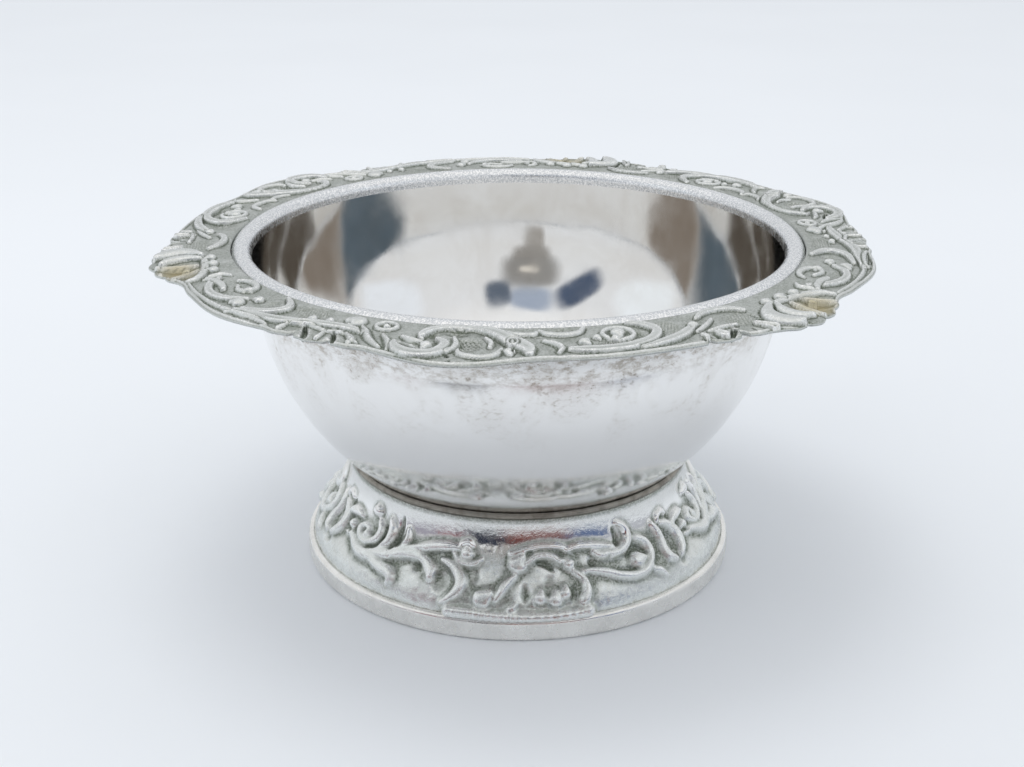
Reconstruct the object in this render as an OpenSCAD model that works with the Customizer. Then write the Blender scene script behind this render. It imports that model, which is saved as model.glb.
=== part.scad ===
// Footed open salt cellar: a round spun bowl with a lobed scroll-and-shell border,
// on a spreading foot with cast scrolls and a plain base band.
// The origin is on the table under the middle of the bowl, with +Z up and the front at -Y.

/* [Bowl] */
// Outer radius of the round bowl
bowl_r = 29.8; // [26:0.1:34]
// Thickness of the bowl's wall
bowl_wall = 0.8; // [0.5:0.1:1.4]
// Upright wall between the bowl's widest circle and its flange
wall_rise = 0.65; // [0.1:0.05:2]
// How far the lip's bead stands outside the bowl's widest circle
lip_flare = 1.1; // [0.8:0.05:1.3]
// Radius of the rounded bead that finishes the lip
lip_bead_r = 1.1; // [0.8:0.05:1.5]
// How far the flange's upper face lies below the middle of the bead
seat_drop = 0.6; // [0.3:0.05:0.75]
// Width of the flange that carries the border
flange_w = 3; // [2:0.1:4]
// Thickness of that flange
flange_t = 0.6; // [0.4:0.1:1]

/* [Border] */
// Width of the border from its inner edge to its plain outline
border_w = 7.25; // [6:0.05:8.5]
// Thickness of the border at its inner edge
border_t = 1.45; // [1.2:0.05:2]
// Thickness of the border at its outer edge
border_edge_t = 0.4; // [0.3:0.05:0.7]
// How far the border's face falls from its inner to its outer edge
border_fall = 0.4; // [0:0.05:0.6]
// How many times the pattern of shell and scrolls goes round the border
border_repeats = 3; // [2:1:4]

/* [Neck ring] */
// Radius of the wire that covers the joint of bowl and foot
neck_wire_r = 0.3; // [0.24:0.02:0.4]

/* [Foot] */
// Outer radius of the foot at its top edge
neck_r = 19.7; // [17:0.1:21]
// How far the foot spreads from its top edge to its lower edge
foot_spread = 4.7; // [4.3:0.1:8]
// Height of the foot from the band's ledge to its top edge
foot_rise = 9.75; // [8:0.05:12]
// Thickness of the foot's wall
foot_wall = 1.1; // [0.9:0.1:1.6]
// Radius of the hollow curve below the neck
cove_r = 9; // [7:0.1:10]
// How many times the pattern of scrolls goes round the foot
foot_repeats = 3; // [2:1:4]

/* [Base band] */
// Height of the plain band that the foot stands on
band_h = 2.5; // [1.5:0.1:4]
// Depth of the rebate that the foot's lower edge sits in
rebate_h = 0.5; // [0.3:0.05:0.8]
// Thickness of the band's wall outside the rebate
band_lip_t = 0.65; // [0.4:0.05:1]
// How far the band's ledge reaches inside the foot's wall
band_shelf = 0.5; // [0.3:0.05:2]
// Radius of the band's rounded outer edges
band_round = 0.3; // [0.1:0.02:0.36]

/* [Relief] */
// How deep the root of each raised stroke goes into its ground
relief_root = 0.3; // [0.2:0.05:0.4]

/* [Fits] */
// Gap left for solder between pieces
solder_gap = 0.05; // [0.02:0.01:0.1]

/* [Hidden] */
$fn = 128;
overrun = 1;

silver = [0.86, 0.87, 0.88];
dull_silver = [0.72, 0.74, 0.71];

// The height of a raised stroke and the shape of its section, as shares of its width:
// how far across the stroke, and how far above the ground; a negative height is the root.
stroke_shares = [[-0.6, -1], [-0.34, 0.42], [0.34, 0.42], [0.6, -1]];
// The width of a flute's foot as a share of its tip's
flute_foot_share = 0.4;
bud_sides = 6;
// A bud's tail, how far it lies from the bud's middle, and how deep both sink
bud_tail_share = 0.55;
bud_reach_share = 0.9;
bud_sink_share = 0.35;
// Steps down the foot's profile, how many the inner side skips, and the sides round the foot
// and round the wire's section
profile_steps = 8;
profile_skip = 2;
foot_sides = 48;
wire_sides = 32;
// Where the flange leaves the bead, as a share of the bead's radius from its middle
flange_root_share = 0.5;

// The foot stands on the ledge of its band
foot_r = neck_r + foot_spread;
ledge_z = band_h - rebate_h;
foot_base_z = ledge_z + solder_gap;
neck_z = foot_base_z + foot_rise;
neck_in_r = neck_r - foot_wall;

// The bowl rests on the inner corner of the foot's top edge
bowl_z = neck_z + sqrt(pow(bowl_r + solder_gap, 2) - pow(neck_in_r, 2));
flange_z = bowl_z + wall_rise;
seat_z = flange_z + flange_t;
bead_z = seat_z + seat_drop;
bead_mid_r = bowl_r + lip_flare;

// The border stands on the flange, round the outside of the bead
border_in_r = bead_mid_r + lip_bead_r + solder_gap;
border_seat_r = border_in_r + flange_w;
border_z = seat_z + solder_gap;
border_top_z = border_z + border_t;
border_turn = 360 / border_repeats;
border_start = -177;
border_steps = 24;
// The pattern is a little wider than the border: its inner end would lie under the bead
pattern_share = 1.076;
pattern_w = border_w * pattern_share;
pattern_in_r = border_in_r + border_w - pattern_w;

// The wire lies in the corner of the foot's top edge and the bowl
wire_z = neck_z + solder_gap + neck_wire_r;
wire_ring_r = sqrt(pow(bowl_r + solder_gap + neck_wire_r, 2) - pow(bowl_z - wire_z, 2));

band_r = foot_r + solder_gap + band_lip_t;
band_in_r = foot_r - foot_wall - band_shelf;

function mix(a, b, t) = a + (b - a) * t;
function unit(v) = v / norm(v);
function cosine_lobe(x) = abs(x) < 1 ? pow(cos(90 * x), 2) : 0;
function total(v, i = 0) = i < len(v) ? v[i] + total(v, i + 1) : 0;

// The border's outline: a plain edge with lobes, each [middle, half width, rise] as shares
// of the repeat, the repeat and the pattern's width
edge_share = 0.95;
edge_lobe_shares = [
    [0.102, 0.105, 0.23],
    [0.196, 0.04, -0.05],
    [0.325, 0.1, 0.085],
    [0.646, 0.12, 0.255],
    [0.81, 0.12, 0.035]
];
// Slots between the edge's flutes, each [place, radius] as shares of the repeat and of the width
edge_slot_shares = [[0, 0.1], [0.446, 0.05], [0.498, 0.05], [0.952, 0.05]];

function edge_rise(u) = total([for (k = [-1:1]) total([for (lobe = edge_lobe_shares)
    lobe[2] * cosine_lobe((u - k - lobe[0]) / lobe[1])])]);
function edge_r(u) = pattern_in_r + pattern_w * (edge_share + edge_rise(u));

// Scrolls and stems on the border, each a run of [place along the repeat, place across the
// pattern, width of the stroke]
border_stroke_shares = [
    [[0.582, 0.78, 0.08], [0.585, 0.93, 0.12], [0.602, 1.0, 0.14], [0.62, 0.94, 0.13],
     [0.634, 0.78, 0.13], [0.635, 0.61, 0.12], [0.618, 0.52, 0.07]],
    [[0.577, 0.6, 0.06], [0.591, 0.67, 0.11], [0.608, 0.72, 0.08]],
    [[0.6, 0.5, 0.07], [0.6, 0.36, 0.1], [0.613, 0.22, 0.1], [0.647, 0.13, 0.09], [0.682, 0.2, 0.12],
     [0.702, 0.36, 0.18], [0.72, 0.54, 0.2], [0.73, 0.72, 0.18], [0.728, 0.88, 0.1]],
    [[0.655, 0.72, 0.05], [0.656, 0.86, 0.1], [0.672, 0.96, 0.11], [0.689, 0.86, 0.1],
     [0.695, 0.7, 0.1], [0.689, 0.53, 0.1], [0.667, 0.27, 0.05]],
    [[0.705, 0.21, 0.05], [0.735, 0.3, 0.09], [0.77, 0.31, 0.09], [0.8, 0.28, 0.08], [0.818, 0.17, 0.05]],
    [[0.79, 0.82, 0.07], [0.822, 0.84, 0.1], [0.856, 0.8, 0.11], [0.884, 0.65, 0.12],
     [0.898, 0.45, 0.12], [0.896, 0.27, 0.11], [0.878, 0.15, 0.06]],
    [[0.872, 0.87, 0.05], [0.9, 0.78, 0.09], [0.927, 0.66, 0.11], [0.957, 0.45, 0.07]],
    [[0.946, 0.9, 0.05], [0.954, 0.79, 0.08], [0.969, 0.79, 0.08], [0.976, 0.91, 0.05]],
    [[0.335, 0.74, 0.07], [0.358, 0.65, 0.11], [0.377, 0.48, 0.13], [0.373, 0.26, 0.11], [0.345, 0.15, 0.06]],
    [[0.31, 0.86, 0.06], [0.36, 0.79, 0.1], [0.42, 0.69, 0.11], [0.47, 0.58, 0.13], [0.53, 0.6, 0.07]],
    [[0.512, 0.35, 0.08], [0.528, 0.48, 0.12], [0.546, 0.66, 0.12], [0.562, 0.88, 0.08]],
    [[0.058, 1.05, 0.11], [0.064, 0.85, 0.17], [0.083, 0.64, 0.19], [0.112, 0.5, 0.17],
     [0.143, 0.5, 0.14], [0.17, 0.6, 0.12], [0.185, 0.8, 0.11]],
    [[0.21, 0.42, 0.07], [0.226, 0.62, 0.12], [0.258, 0.76, 0.13], [0.294, 0.68, 0.12], [0.314, 0.46, 0.07]],
    [[0.24, 0.2, 0.06], [0.262, 0.3, 0.09], [0.288, 0.32, 0.1], [0.298, 0.2, 0.06]],
    [[0.975, 0.3, 0.06], [1.008, 0.22, 0.09], [1.036, 0.24, 0.09], [1.056, 0.37, 0.06]],
    [[0.545, 0.9, 0.05], [0.572, 0.97, 0.07], [0.602, 1.07, 0.07], [0.646, 1.14, 0.07],
     [0.69, 1.07, 0.07], [0.72, 0.97, 0.07], [0.748, 0.92, 0.05]],
    [[0.754, 0.92, 0.05], [0.79, 0.93, 0.06], [0.84, 0.925, 0.06], [0.885, 0.905, 0.06], [0.925, 0.89, 0.05]]
];
// Flutes that widen from foot to tip: foot, tip and width
border_flute_shares = [
    [[0.113, 0.47], [0.07, 1.03], 0.19],
    [[0.122, 0.47], [0.103, 1.08], 0.21],
    [[0.132, 0.47], [0.137, 1.06], 0.21],
    [[0.142, 0.45], [0.168, 0.92], 0.18],
    [[0.42, 0.69], [0.42, 0.88], 0.2],
    [[0.472, 0.69], [0.472, 0.88], 0.24],
    [[0.522, 0.69], [0.524, 0.88], 0.18],
    [[0.976, 0.66], [0.976, 0.86], 0.24]
];
// Buds: place, heading of the tail and radius
border_bud_shares = [
    [0.617, 0.66, 120, 0.09],
    [0.85, 0.43, 90, 0.14],
    [0.496, 0.34, 170, 0.12],
    [0.325, 0.4, 160, 0.09],
    [0.228, 0.48, 150, 0.08],
    [0.118, 0.39, 170, 0.09],
    [0.16, 0.42, 170, 0.09]
];

// A spot on the border's face: share of the repeat, share of the pattern's width, and the
// distances along the rim and outward from there
function border_spot(k, u, v, along = 0, out = 0) =
    let (r = pattern_in_r + v * pattern_w,
         a = border_start + border_turn * (k + u) + along / r * 180 / PI)
    [(r + out) * cos(a), (r + out) * sin(a), border_top_z - border_fall * (v + out / pattern_w)];
function border_up(k, u, v, along = 0, out = 0) = [0, 0, 1];

// The foot's profile from its top edge down: a hollow curve, then the low end of an oval
cove_from = 182;
cove_to = 228;
shoulder_turn = 32;
cove_mid = [neck_r - cove_r * cos(cove_from), neck_z - cove_r * sin(cove_from)];
shoulder_top = cove_mid + cove_r * [cos(cove_to), sin(cove_to)];
shoulder_a = (foot_r - shoulder_top[0]) / (1 - cos(shoulder_turn));
shoulder_b = (shoulder_top[1] - foot_base_z) / sin(shoulder_turn);
cove_len = cove_r * (cove_to - cove_from) * PI / 180;
shoulder_len = norm(shoulder_top - [foot_r, foot_base_z]);
foot_len = cove_len + shoulder_len;
cove_share = cove_len / foot_len;
foot_turn = 360 / foot_repeats;
foot_start = -144;
// The relief stays above the rebate
relief_low_share = rebate_h / foot_len;

function shoulder_angle(t) = shoulder_turn * (1 - t) / (1 - cove_share);
function cove_angle(t) = mix(cove_from, cove_to, t / cove_share);
// A point of the profile and its outward normal, at the share t of the way down
function foot_point(t) = t < cove_share
    ? cove_mid + cove_r * [cos(cove_angle(t)), sin(cove_angle(t))]
    : let (a = shoulder_angle(t))
      [foot_r - shoulder_a * (1 - cos(a)), foot_base_z + shoulder_b * sin(a)];
function foot_out(t) = t < cove_share
    ? -[cos(cove_angle(t)), sin(cove_angle(t))]
    : let (a = shoulder_angle(t)) unit([cos(a) / shoulder_a, sin(a) / shoulder_b]);

// Scrolls and stems on the foot, each a run of [place along the repeat, place up the foot,
// width of the stroke as a share of the foot's slope]
foot_stroke_shares = [
    [[-0.055, 0.4, 0.05], [-0.015, 0.375, 0.08], [0.03, 0.31, 0.09], [0.07, 0.34, 0.1], [0.12, 0.43, 0.11],
     [0.17, 0.53, 0.1], [0.225, 0.625, 0.09], [0.27, 0.665, 0.09], [0.31, 0.66, 0.06]],
    [[0.13, 0.42, 0.07], [0.17, 0.48, 0.08], [0.203, 0.49, 0.08], [0.228, 0.42, 0.08]],
    [[0.07, 0.29, 0.05], [0.11, 0.265, 0.08], [0.144, 0.22, 0.08], [0.142, 0.13, 0.05]],
    [[0.09, 0.75, 0.05], [0.098, 0.62, 0.08], [0.09, 0.48, 0.08], [0.06, 0.38, 0.06]],
    [[0.15, 0.74, 0.05], [0.153, 0.63, 0.07], [0.143, 0.53, 0.06]],
    [[0.048, 0.7, 0.05], [0.062, 0.58, 0.08], [0.045, 0.44, 0.08], [0.006, 0.43, 0.08],
     [-0.014, 0.52, 0.07], [0.004, 0.59, 0.05]],
    [[0.26, 0.52, 0.05], [0.292, 0.48, 0.08], [0.312, 0.38, 0.09], [0.315, 0.25, 0.09], [0.288, 0.12, 0.05]],
    [[0.305, 0.035, 0.05], [0.335, 0.055, 0.07], [0.4, 0.04, 0.06], [0.48, 0.035, 0.055], [0.57, 0.04, 0.05]],
    [[0.402, 0.16, 0.05], [0.41, 0.26, 0.07], [0.438, 0.41, 0.06]],
    [[0.43, 0.65, 0.05], [0.465, 0.7, 0.055], [0.505, 0.73, 0.055], [0.545, 0.71, 0.05]],
    [[0.475, 0.55, 0.06], [0.49, 0.61, 0.08], [0.525, 0.61, 0.08], [0.553, 0.54, 0.06]],
    [[0.586, 0.07, 0.05], [0.598, 0.18, 0.09], [0.602, 0.3, 0.07], [0.585, 0.43, 0.05]],
    [[0.56, 0.66, 0.05], [0.605, 0.69, 0.065], [0.65, 0.66, 0.065], [0.69, 0.6, 0.05]],
    [[0.645, 0.6, 0.05], [0.672, 0.54, 0.085], [0.718, 0.55, 0.085], [0.743, 0.65, 0.085],
     [0.738, 0.78, 0.07], [0.718, 0.85, 0.05]],
    [[0.605, 0.42, 0.04], [0.655, 0.38, 0.07], [0.69, 0.3, 0.07], [0.74, 0.265, 0.065],
     [0.783, 0.34, 0.08], [0.798, 0.47, 0.08], [0.785, 0.6, 0.06]],
    [[0.832, 0.68, 0.05], [0.845, 0.54, 0.08], [0.84, 0.38, 0.08], [0.855, 0.25, 0.06]],
    [[0.868, 0.655, 0.05], [0.9, 0.57, 0.09], [0.909, 0.43, 0.1], [0.886, 0.26, 0.06]]
];
foot_flute_shares = [
    [[0.497, 0.27], [0.495, 0.12], 0.1],
    [[0.527, 0.26], [0.528, 0.11], 0.1],
    [[0.556, 0.28], [0.558, 0.13], 0.1]
];
foot_bud_shares = [
    [0.45, 0.54, 60, 0.075],
    [0.572, 0.52, 120, 0.06],
    [0.937, 0.64, 190, 0.075],
    [0.24, 0.36, 260, 0.075],
    [0.322, 0.62, 80, 0.055],
    [0.755, 0.4, 0, 0.075]
];

// A spot on the foot: share of the repeat, share of the way up, and the distances along and up
function foot_t(v, up) = 1 - relief_low_share - (1 - relief_low_share) * v - up / foot_len;
function foot_spot(k, u, v, along = 0, up = 0) =
    let (p = foot_point(foot_t(v, up)),
         a = foot_start + foot_turn * (k + u) + along / p[0] * 180 / PI)
    [p[0] * cos(a), p[0] * sin(a), p[1]];
function foot_up(k, u, v, along = 0, up = 0) =
    let (p = foot_point(foot_t(v, up)), n = foot_out(foot_t(v, up)),
         a = foot_start + foot_turn * (k + u) + along / p[0] * 180 / PI)
    [n[0] * cos(a), n[0] * sin(a), n[1]];

// A raised stroke through points of a surface, standing on the surface's normals
module stroke(points, normals, widths) {
    last = len(points) - 1;
    sides = len(stroke_shares);
    rings = [for (i = [0:last])
        let (ahead = points[min(i + 1, last)] - points[max(i - 1, 0)],
             across = unit(cross(ahead, normals[i])))
        for (s = stroke_shares)
            points[i] + across * s[0] * widths[i]
                + normals[i] * (s[1] < 0 ? -relief_root : s[1] * widths[i])];
    polyhedron(rings, concat(
        [[for (j = [0:sides - 1]) j]],
        [for (i = [0:last - 1], j = [0:sides - 1])
            let (a = i * sides + j, b = i * sides + (j + 1) % sides)
            each [[a, a + sides, b], [b, a + sides, b + sides]]],
        [[for (j = [sides - 1:-1:0]) last * sides + j]]));
}

// A bud with a smaller tail, half sunk in its ground
module bud(middle, tail, r) {
    hull() {
        translate(middle) sphere(r, $fn = bud_sides);
        translate(tail) sphere(r * bud_tail_share, $fn = bud_sides);
    }
}

// Everything raised on one repeat of a surface whose spots and normals are given;
// scale_w turns the shares for radii and widths into lengths
module relief(k, scale_w, spot, up, strokes, flutes, buds) {
    for (s = strokes)
        stroke([for (p = s) spot(k, p[0], p[1])], [for (p = s) up(k, p[0], p[1])],
               [for (p = s) p[2] * scale_w]);
    for (s = flutes) {
        ends = [s[0], s[1]];
        stroke([for (p = ends) spot(k, p[0], p[1])], [for (p = ends) up(k, p[0], p[1])],
               [s[2] * flute_foot_share * scale_w, s[2] * scale_w]);
    }
    for (s = buds) {
        r = s[3] * scale_w;
        reach = r * bud_reach_share;
        bud(spot(k, s[0], s[1]) - up(k, s[0], s[1]) * r * bud_sink_share,
            spot(k, s[0], s[1], reach * cos(s[2]), reach * sin(s[2])) - up(k, s[0], s[1]) * r * bud_sink_share,
            r);
    }
}

// Half of the bowl's round shell, below its widest circle
module shell_section() {
    difference() {
        intersection() {
            translate([0, bowl_z]) circle(bowl_r);
            translate([0, bowl_z - bowl_r - overrun]) square(bowl_r + overrun);
        }
        translate([0, bowl_z]) circle(bowl_r - bowl_wall);
    }
}

// The upright wall with its root in the shell, the flange and the part of them inside the bead
module wall_section() {
    polygon([
        [bowl_r - bowl_wall, bowl_z], [bead_mid_r - lip_bead_r, bead_z], [bead_mid_r, bead_z],
        [bead_mid_r + lip_bead_r * flange_root_share, seat_z], [border_seat_r, seat_z],
        [border_seat_r, flange_z], [bowl_r, flange_z], [bowl_r, bowl_z],
        [bowl_r - bowl_wall / 2, bowl_z - bowl_wall]
    ]);
}

module bowl() {
    color(silver) union() {
        rotate_extrude() shell_section();
        rotate_extrude() wall_section();
        rotate_extrude() translate([bead_mid_r, bead_z]) circle(lip_bead_r);
    }
}

// The border's plain body: flat beneath where it stands on the flange, thin at its lobed edge
module border_body() {
    edge_low_z = border_top_z - border_fall - border_edge_t;
    columns = 5;
    count = border_steps * border_repeats;
    points = [for (i = [0:count - 1])
        let (u = i / border_steps, a = border_start + border_turn * u, r = edge_r(u - floor(u)))
        each [for (p = [[border_in_r, border_z], [border_seat_r, border_z], [r, edge_low_z],
                        [r, border_top_z - border_fall], [border_in_r, border_top_z]])
            [p[0] * cos(a), p[0] * sin(a), p[1]]]];
    polyhedron(points, [for (i = [0:count - 1], j = [0:columns - 1])
        let (a = i * columns + j, b = i * columns + (j + 1) % columns,
             c = ((i + 1) % count) * columns + j, d = ((i + 1) % count) * columns + (j + 1) % columns)
        each [[a, b, c], [b, d, c]]]);
}

module rim_border() {
    color(dull_silver) difference() {
        union() {
            border_body();
            for (k = [0:border_repeats - 1])
                relief(k, pattern_w, function (k, u, v, x = 0, y = 0) border_spot(k, u, v, x, y),
                       function (k, u, v, x = 0, y = 0) border_up(k, u, v, x, y),
                       border_stroke_shares, border_flute_shares, border_bud_shares);
        }
        for (k = [0:border_repeats - 1], slot = edge_slot_shares)
            let (a = border_start + border_turn * (k + slot[0]), r = edge_r(slot[0]))
            translate([r * cos(a), r * sin(a), border_z - overrun])
                cylinder(h = border_t + 2 * overrun, r = slot[1] * pattern_w, $fn = bud_sides);
    }
}

module neck_ring() {
    color(silver) rotate_extrude() translate([wire_ring_r, wire_z]) circle(neck_wire_r, $fn = wire_sides);
}

// The foot's wall, hollow beneath, as a band between its profile and the same profile set inward
module foot_body() {
    outer = [for (i = [0:profile_steps]) foot_point(i / profile_steps)];
    inner = [for (i = [profile_steps:-profile_skip:profile_skip])
        foot_point(i / profile_steps) - foot_wall * foot_out(i / profile_steps)];
    rotate_extrude($fn = foot_sides) polygon(concat(outer, inner, [[neck_in_r, neck_z]]));
}

module foot() {
    color(dull_silver) union() {
        foot_body();
        for (k = [0:foot_repeats - 1])
            relief(k, foot_len, function (k, u, v, x = 0, y = 0) foot_spot(k, u, v, x, y),
                   function (k, u, v, x = 0, y = 0) foot_up(k, u, v, x, y),
                   foot_stroke_shares, foot_flute_shares, foot_bud_shares);
    }
}

module foot_band() {
    color(silver) rotate_extrude() polygon([
        [band_in_r, 0], [band_r - band_round, 0], [band_r, band_round], [band_r, band_h - band_round],
        [band_r - band_round, band_h], [foot_r + solder_gap, band_h], [foot_r + solder_gap, ledge_z],
        [band_in_r, ledge_z]
    ]);
}

bowl();
rim_border();
neck_ring();
foot();
foot_band();
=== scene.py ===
"""Footed open salt cellar in silver: a spun bowl with a lobed border of scrolls and shells,
on a spreading foot with cast scrolls and a plain base band.

Lengths in the tables and functions are in millimetres; meshes are made in metres.
The origin is on the table under the middle of the bowl, with +Z up and the front at -Y.
"""

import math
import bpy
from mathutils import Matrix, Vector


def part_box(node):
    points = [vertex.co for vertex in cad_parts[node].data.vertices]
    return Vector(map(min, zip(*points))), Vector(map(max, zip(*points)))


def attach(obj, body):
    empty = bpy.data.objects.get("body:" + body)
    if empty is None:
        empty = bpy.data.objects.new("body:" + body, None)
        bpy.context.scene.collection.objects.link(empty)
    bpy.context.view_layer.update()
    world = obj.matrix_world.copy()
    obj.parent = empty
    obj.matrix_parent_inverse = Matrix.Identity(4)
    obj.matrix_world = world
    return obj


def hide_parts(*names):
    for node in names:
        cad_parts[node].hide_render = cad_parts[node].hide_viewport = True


bl_info = {
    "name": "Footed salt cellar",
    "version": (1, 0, 0),
    "blender": (4, 5, 0),
    "location": "View3D > Sidebar > Salt cellar",
    "description": "Builds a silver salt cellar with a cast scroll border and foot",
    "category": "Add Mesh",
}

import bpy
import numpy as np
from bpy.props import FloatProperty, FloatVectorProperty, PointerProperty
from mathutils import Vector

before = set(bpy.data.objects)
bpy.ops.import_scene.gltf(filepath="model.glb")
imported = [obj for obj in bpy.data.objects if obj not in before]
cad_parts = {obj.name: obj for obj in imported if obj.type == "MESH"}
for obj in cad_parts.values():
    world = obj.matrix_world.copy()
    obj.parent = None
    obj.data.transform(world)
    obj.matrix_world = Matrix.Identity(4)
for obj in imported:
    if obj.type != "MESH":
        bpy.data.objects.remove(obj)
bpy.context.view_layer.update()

MM = 0.001


def box_mm(node):
    """Lowest and highest corner of a node of the frame, in millimetres."""
    low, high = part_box(node)
    return np.array(low) / MM, np.array(high) / MM


# ---- Sizes that the frame gives ----

BAND_R, _, BAND_H = box_mm("foot_band")[1]
FLANGE_R, _, BOWL_TOP = box_mm("bowl")[1]
RING_LOW, RING_HIGH = box_mm("neck_ring")
WIRE_R = (RING_HIGH[2] - RING_LOW[2]) / 2
WIRE_Z = (RING_HIGH[2] + RING_LOW[2]) / 2
WIRE_RING_R = RING_HIGH[0] - WIRE_R


def length(name, description, default, low):
    """A property that holds a length; default and low are in millimetres."""
    return FloatProperty(name=name, description=description, default=default * MM,
                         min=low * MM, unit="LENGTH")


def tint(name, description, default):
    """A property that holds a colour."""
    return FloatVectorProperty(name=name, description=description, default=default, size=3,
                               min=0.0, max=1.0, subtype="COLOR")


class SaltCellarSizes(bpy.types.PropertyGroup):
    """Sizes of the pieces, in metres."""

    bowl_r: length("Bowl radius", "Outer radius of the round bowl", 29.8, 20)
    bowl_wall: length("Bowl wall", "Thickness of the bowl's wall", 0.8, 0.3)
    bead_r: length("Bead radius", "Radius of the rounded lip", 1.1, 0.5)
    border_w: length("Border width", "Width of the border to its plain outline", 7.25, 4)
    border_relief: length("Border relief", "Height of the widest scroll above the border's ground",
                          0.45, 0.1)
    foot_relief: length("Foot relief", "Height of the widest scroll above the foot's ground",
                        0.62, 0.1)
    neck_r: length("Neck radius", "Outer radius of the foot at its top edge", 19.7, 10)
    foot_r: length("Foot radius", "Outer radius of the foot at its lower edge", 24.4, 10)
    foot_wall: length("Foot wall", "Thickness of the foot's wall", 1.1, 0.5)


class SaltCellarFinish(bpy.types.PropertyGroup):
    """Colours of the silver and of what has settled in it."""

    silver: tint("Silver", "Colour of clean silver", (0.90, 0.895, 0.885))
    worn: tint("Dull silver", "Colour of the dull silver on the cast ornament", (0.67, 0.69, 0.67))
    patina: tint("Patina", "Colour of the patina in the recesses", (0.19, 0.215, 0.175))
    tarnish: tint("Tarnish", "Colour of the tarnish flecks on the bowl", (0.42, 0.38, 0.32))
    brass: tint("Worn shell", "Warm colour where the shells have worn", (0.56, 0.51, 0.36))


class SaltCellarStage(bpy.types.PropertyGroup):
    """The studio round the salt cellar."""

    floor: tint("Floor", "Colour of the pale floor", (0.84, 0.87, 0.907))
    sky: FloatProperty(name="Room light", description="Strength of the light from all round",
                       default=1.0, min=0.0)
    lamp: FloatProperty(name="Lamp power", description="Power that the soft lamps share",
                        default=1.0, min=0.0, unit="POWER")
    lens: FloatProperty(name="Lens", description="Focal length of the camera",
                        default=54.84, min=1.0, unit="CAMERA")


def sizes():
    return bpy.context.scene.salt_cellar_sizes


def finish_colours():
    return bpy.context.scene.salt_cellar_finish


# ---- Small maths ----


def smooth(x):
    """0 below 0, 1 above 1 and an even ease between."""
    x = np.clip(x, 0, 1)
    return x * x * (3 - 2 * x)


def rising(x, place, width):
    """0 below a place and 1 from a width above it."""
    return smooth((x - place) / width)


def mix(a, b, t):
    return a + (b - a) * t


def cosine_lobe(x):
    """1 at 0, and a cosine's fall to 0 at -1 and 1."""
    return np.where(np.abs(x) < 1, np.cos(np.pi / 2 * np.clip(x, -1, 1)) ** 2, 0)


# Rows of the noise's lattice before it comes again
LATTICE_ROWS = 256


def lattice_noise(azimuth, y, cell, radius, seed):
    """Smooth noise from -1 to 1 that closes round the axis; cell is its grain in millimetres."""
    around = max(3, int(round(2 * math.pi * radius / cell)))
    values = np.random.default_rng(seed).uniform(-1, 1, (LATTICE_ROWS, around))
    a = azimuth / 360 * around
    b = y / cell
    a0, b0 = np.floor(a).astype(int), np.floor(b).astype(int)
    fa, fb = smooth(a - a0), smooth(b - b0)

    def at(i, j):
        return values[(b0 + j) % LATTICE_ROWS, (a0 + i) % around]

    return mix(mix(at(0, 0), at(1, 0), fa), mix(at(0, 1), at(1, 1), fa), fb)


def blur(field, steps_y, steps_a):
    """Evens out a field along its rows, which close round the axis, and down its columns."""
    for steps, axis, mode in ((steps_y, 0, "edge"), (steps_a, 1, "wrap")):
        pad = [(0, 0), (0, 0)]
        pad[axis] = (steps, steps)
        wide = np.pad(field, pad, mode=mode)
        weights = np.cos(np.linspace(-1, 1, 2 * steps + 3)[1:-1] * np.pi / 2)
        weights /= weights.sum()
        count = field.shape[axis]
        field = sum(
            w * np.take(wide, range(i, i + count), axis=axis) for i, w in enumerate(weights)
        )
    return field


# ---- Relief: raised strokes laid on a round surface ----

# Height across a stroke, from 0 at its middle to 1 at its side
SECTIONS = {
    "band": lambda x: smooth((1 - x) / 0.3) * (0.86 + 0.14 * smooth(x / 0.7)),
    "round": lambda x: np.sqrt(np.clip(1 - np.clip(x, 0, 1) ** 2.4, 0, 1)),
    "ridge": lambda x: smooth((1 - x) / 0.8) * (0.72 + 0.28 * smooth(1 - x / 0.5)),
    "hollow": lambda x: smooth((1 - x) / 0.32) * (0.42 + 0.58 * smooth(x / 0.66)),
}
# Half width of the dark groove at a stroke's side, in millimetres, and how far out its middle
# lies, as a share of that
GROOVE_W, GROOVE_OUT = 0.16, 0.1
# How steep the sides of cuts, of oval hollows and of the nets' patches are
CUT_SIDE, DISH_SIDE, NET_SIDE = 1.3, 1.15, 2.5
# Share of the raised work that a cut takes off
CUT_SHARE = 0.9
# The narrowest stroke, as a share of scale_w
NARROWEST = 0.02
# Least and most width, against a full stroke's, that a stroke's rise follows
RISE_LIMITS = (0.15, 1.15)
# How far a bud's tail lies from it, as a share of its radius
BUD_TAIL = 0.95
# Raised work of this height, in millimetres, covers this share of what was sunk under it
COVER_H, COVER_SHARE = 0.12, 0.8
# Rows in a cell's width and radius of a dot, for the nets
NET_ROW, NET_DOT = 1.2, 0.62
CURVE_STEPS = 6
RING_STEPS = 25
# Raised work of this height, in millimetres, loses this share of the ground's roughness
WORN_H, WORN_SHARE = 0.2, 0.6
# Steps across and along that even out a height field before it is compared with itself
TONE_REACH = (5, 9)


def shares(values):
    """Values of the ornament's tables, which are thousandths, as shares."""
    return np.array(values, float) / 1000


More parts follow.
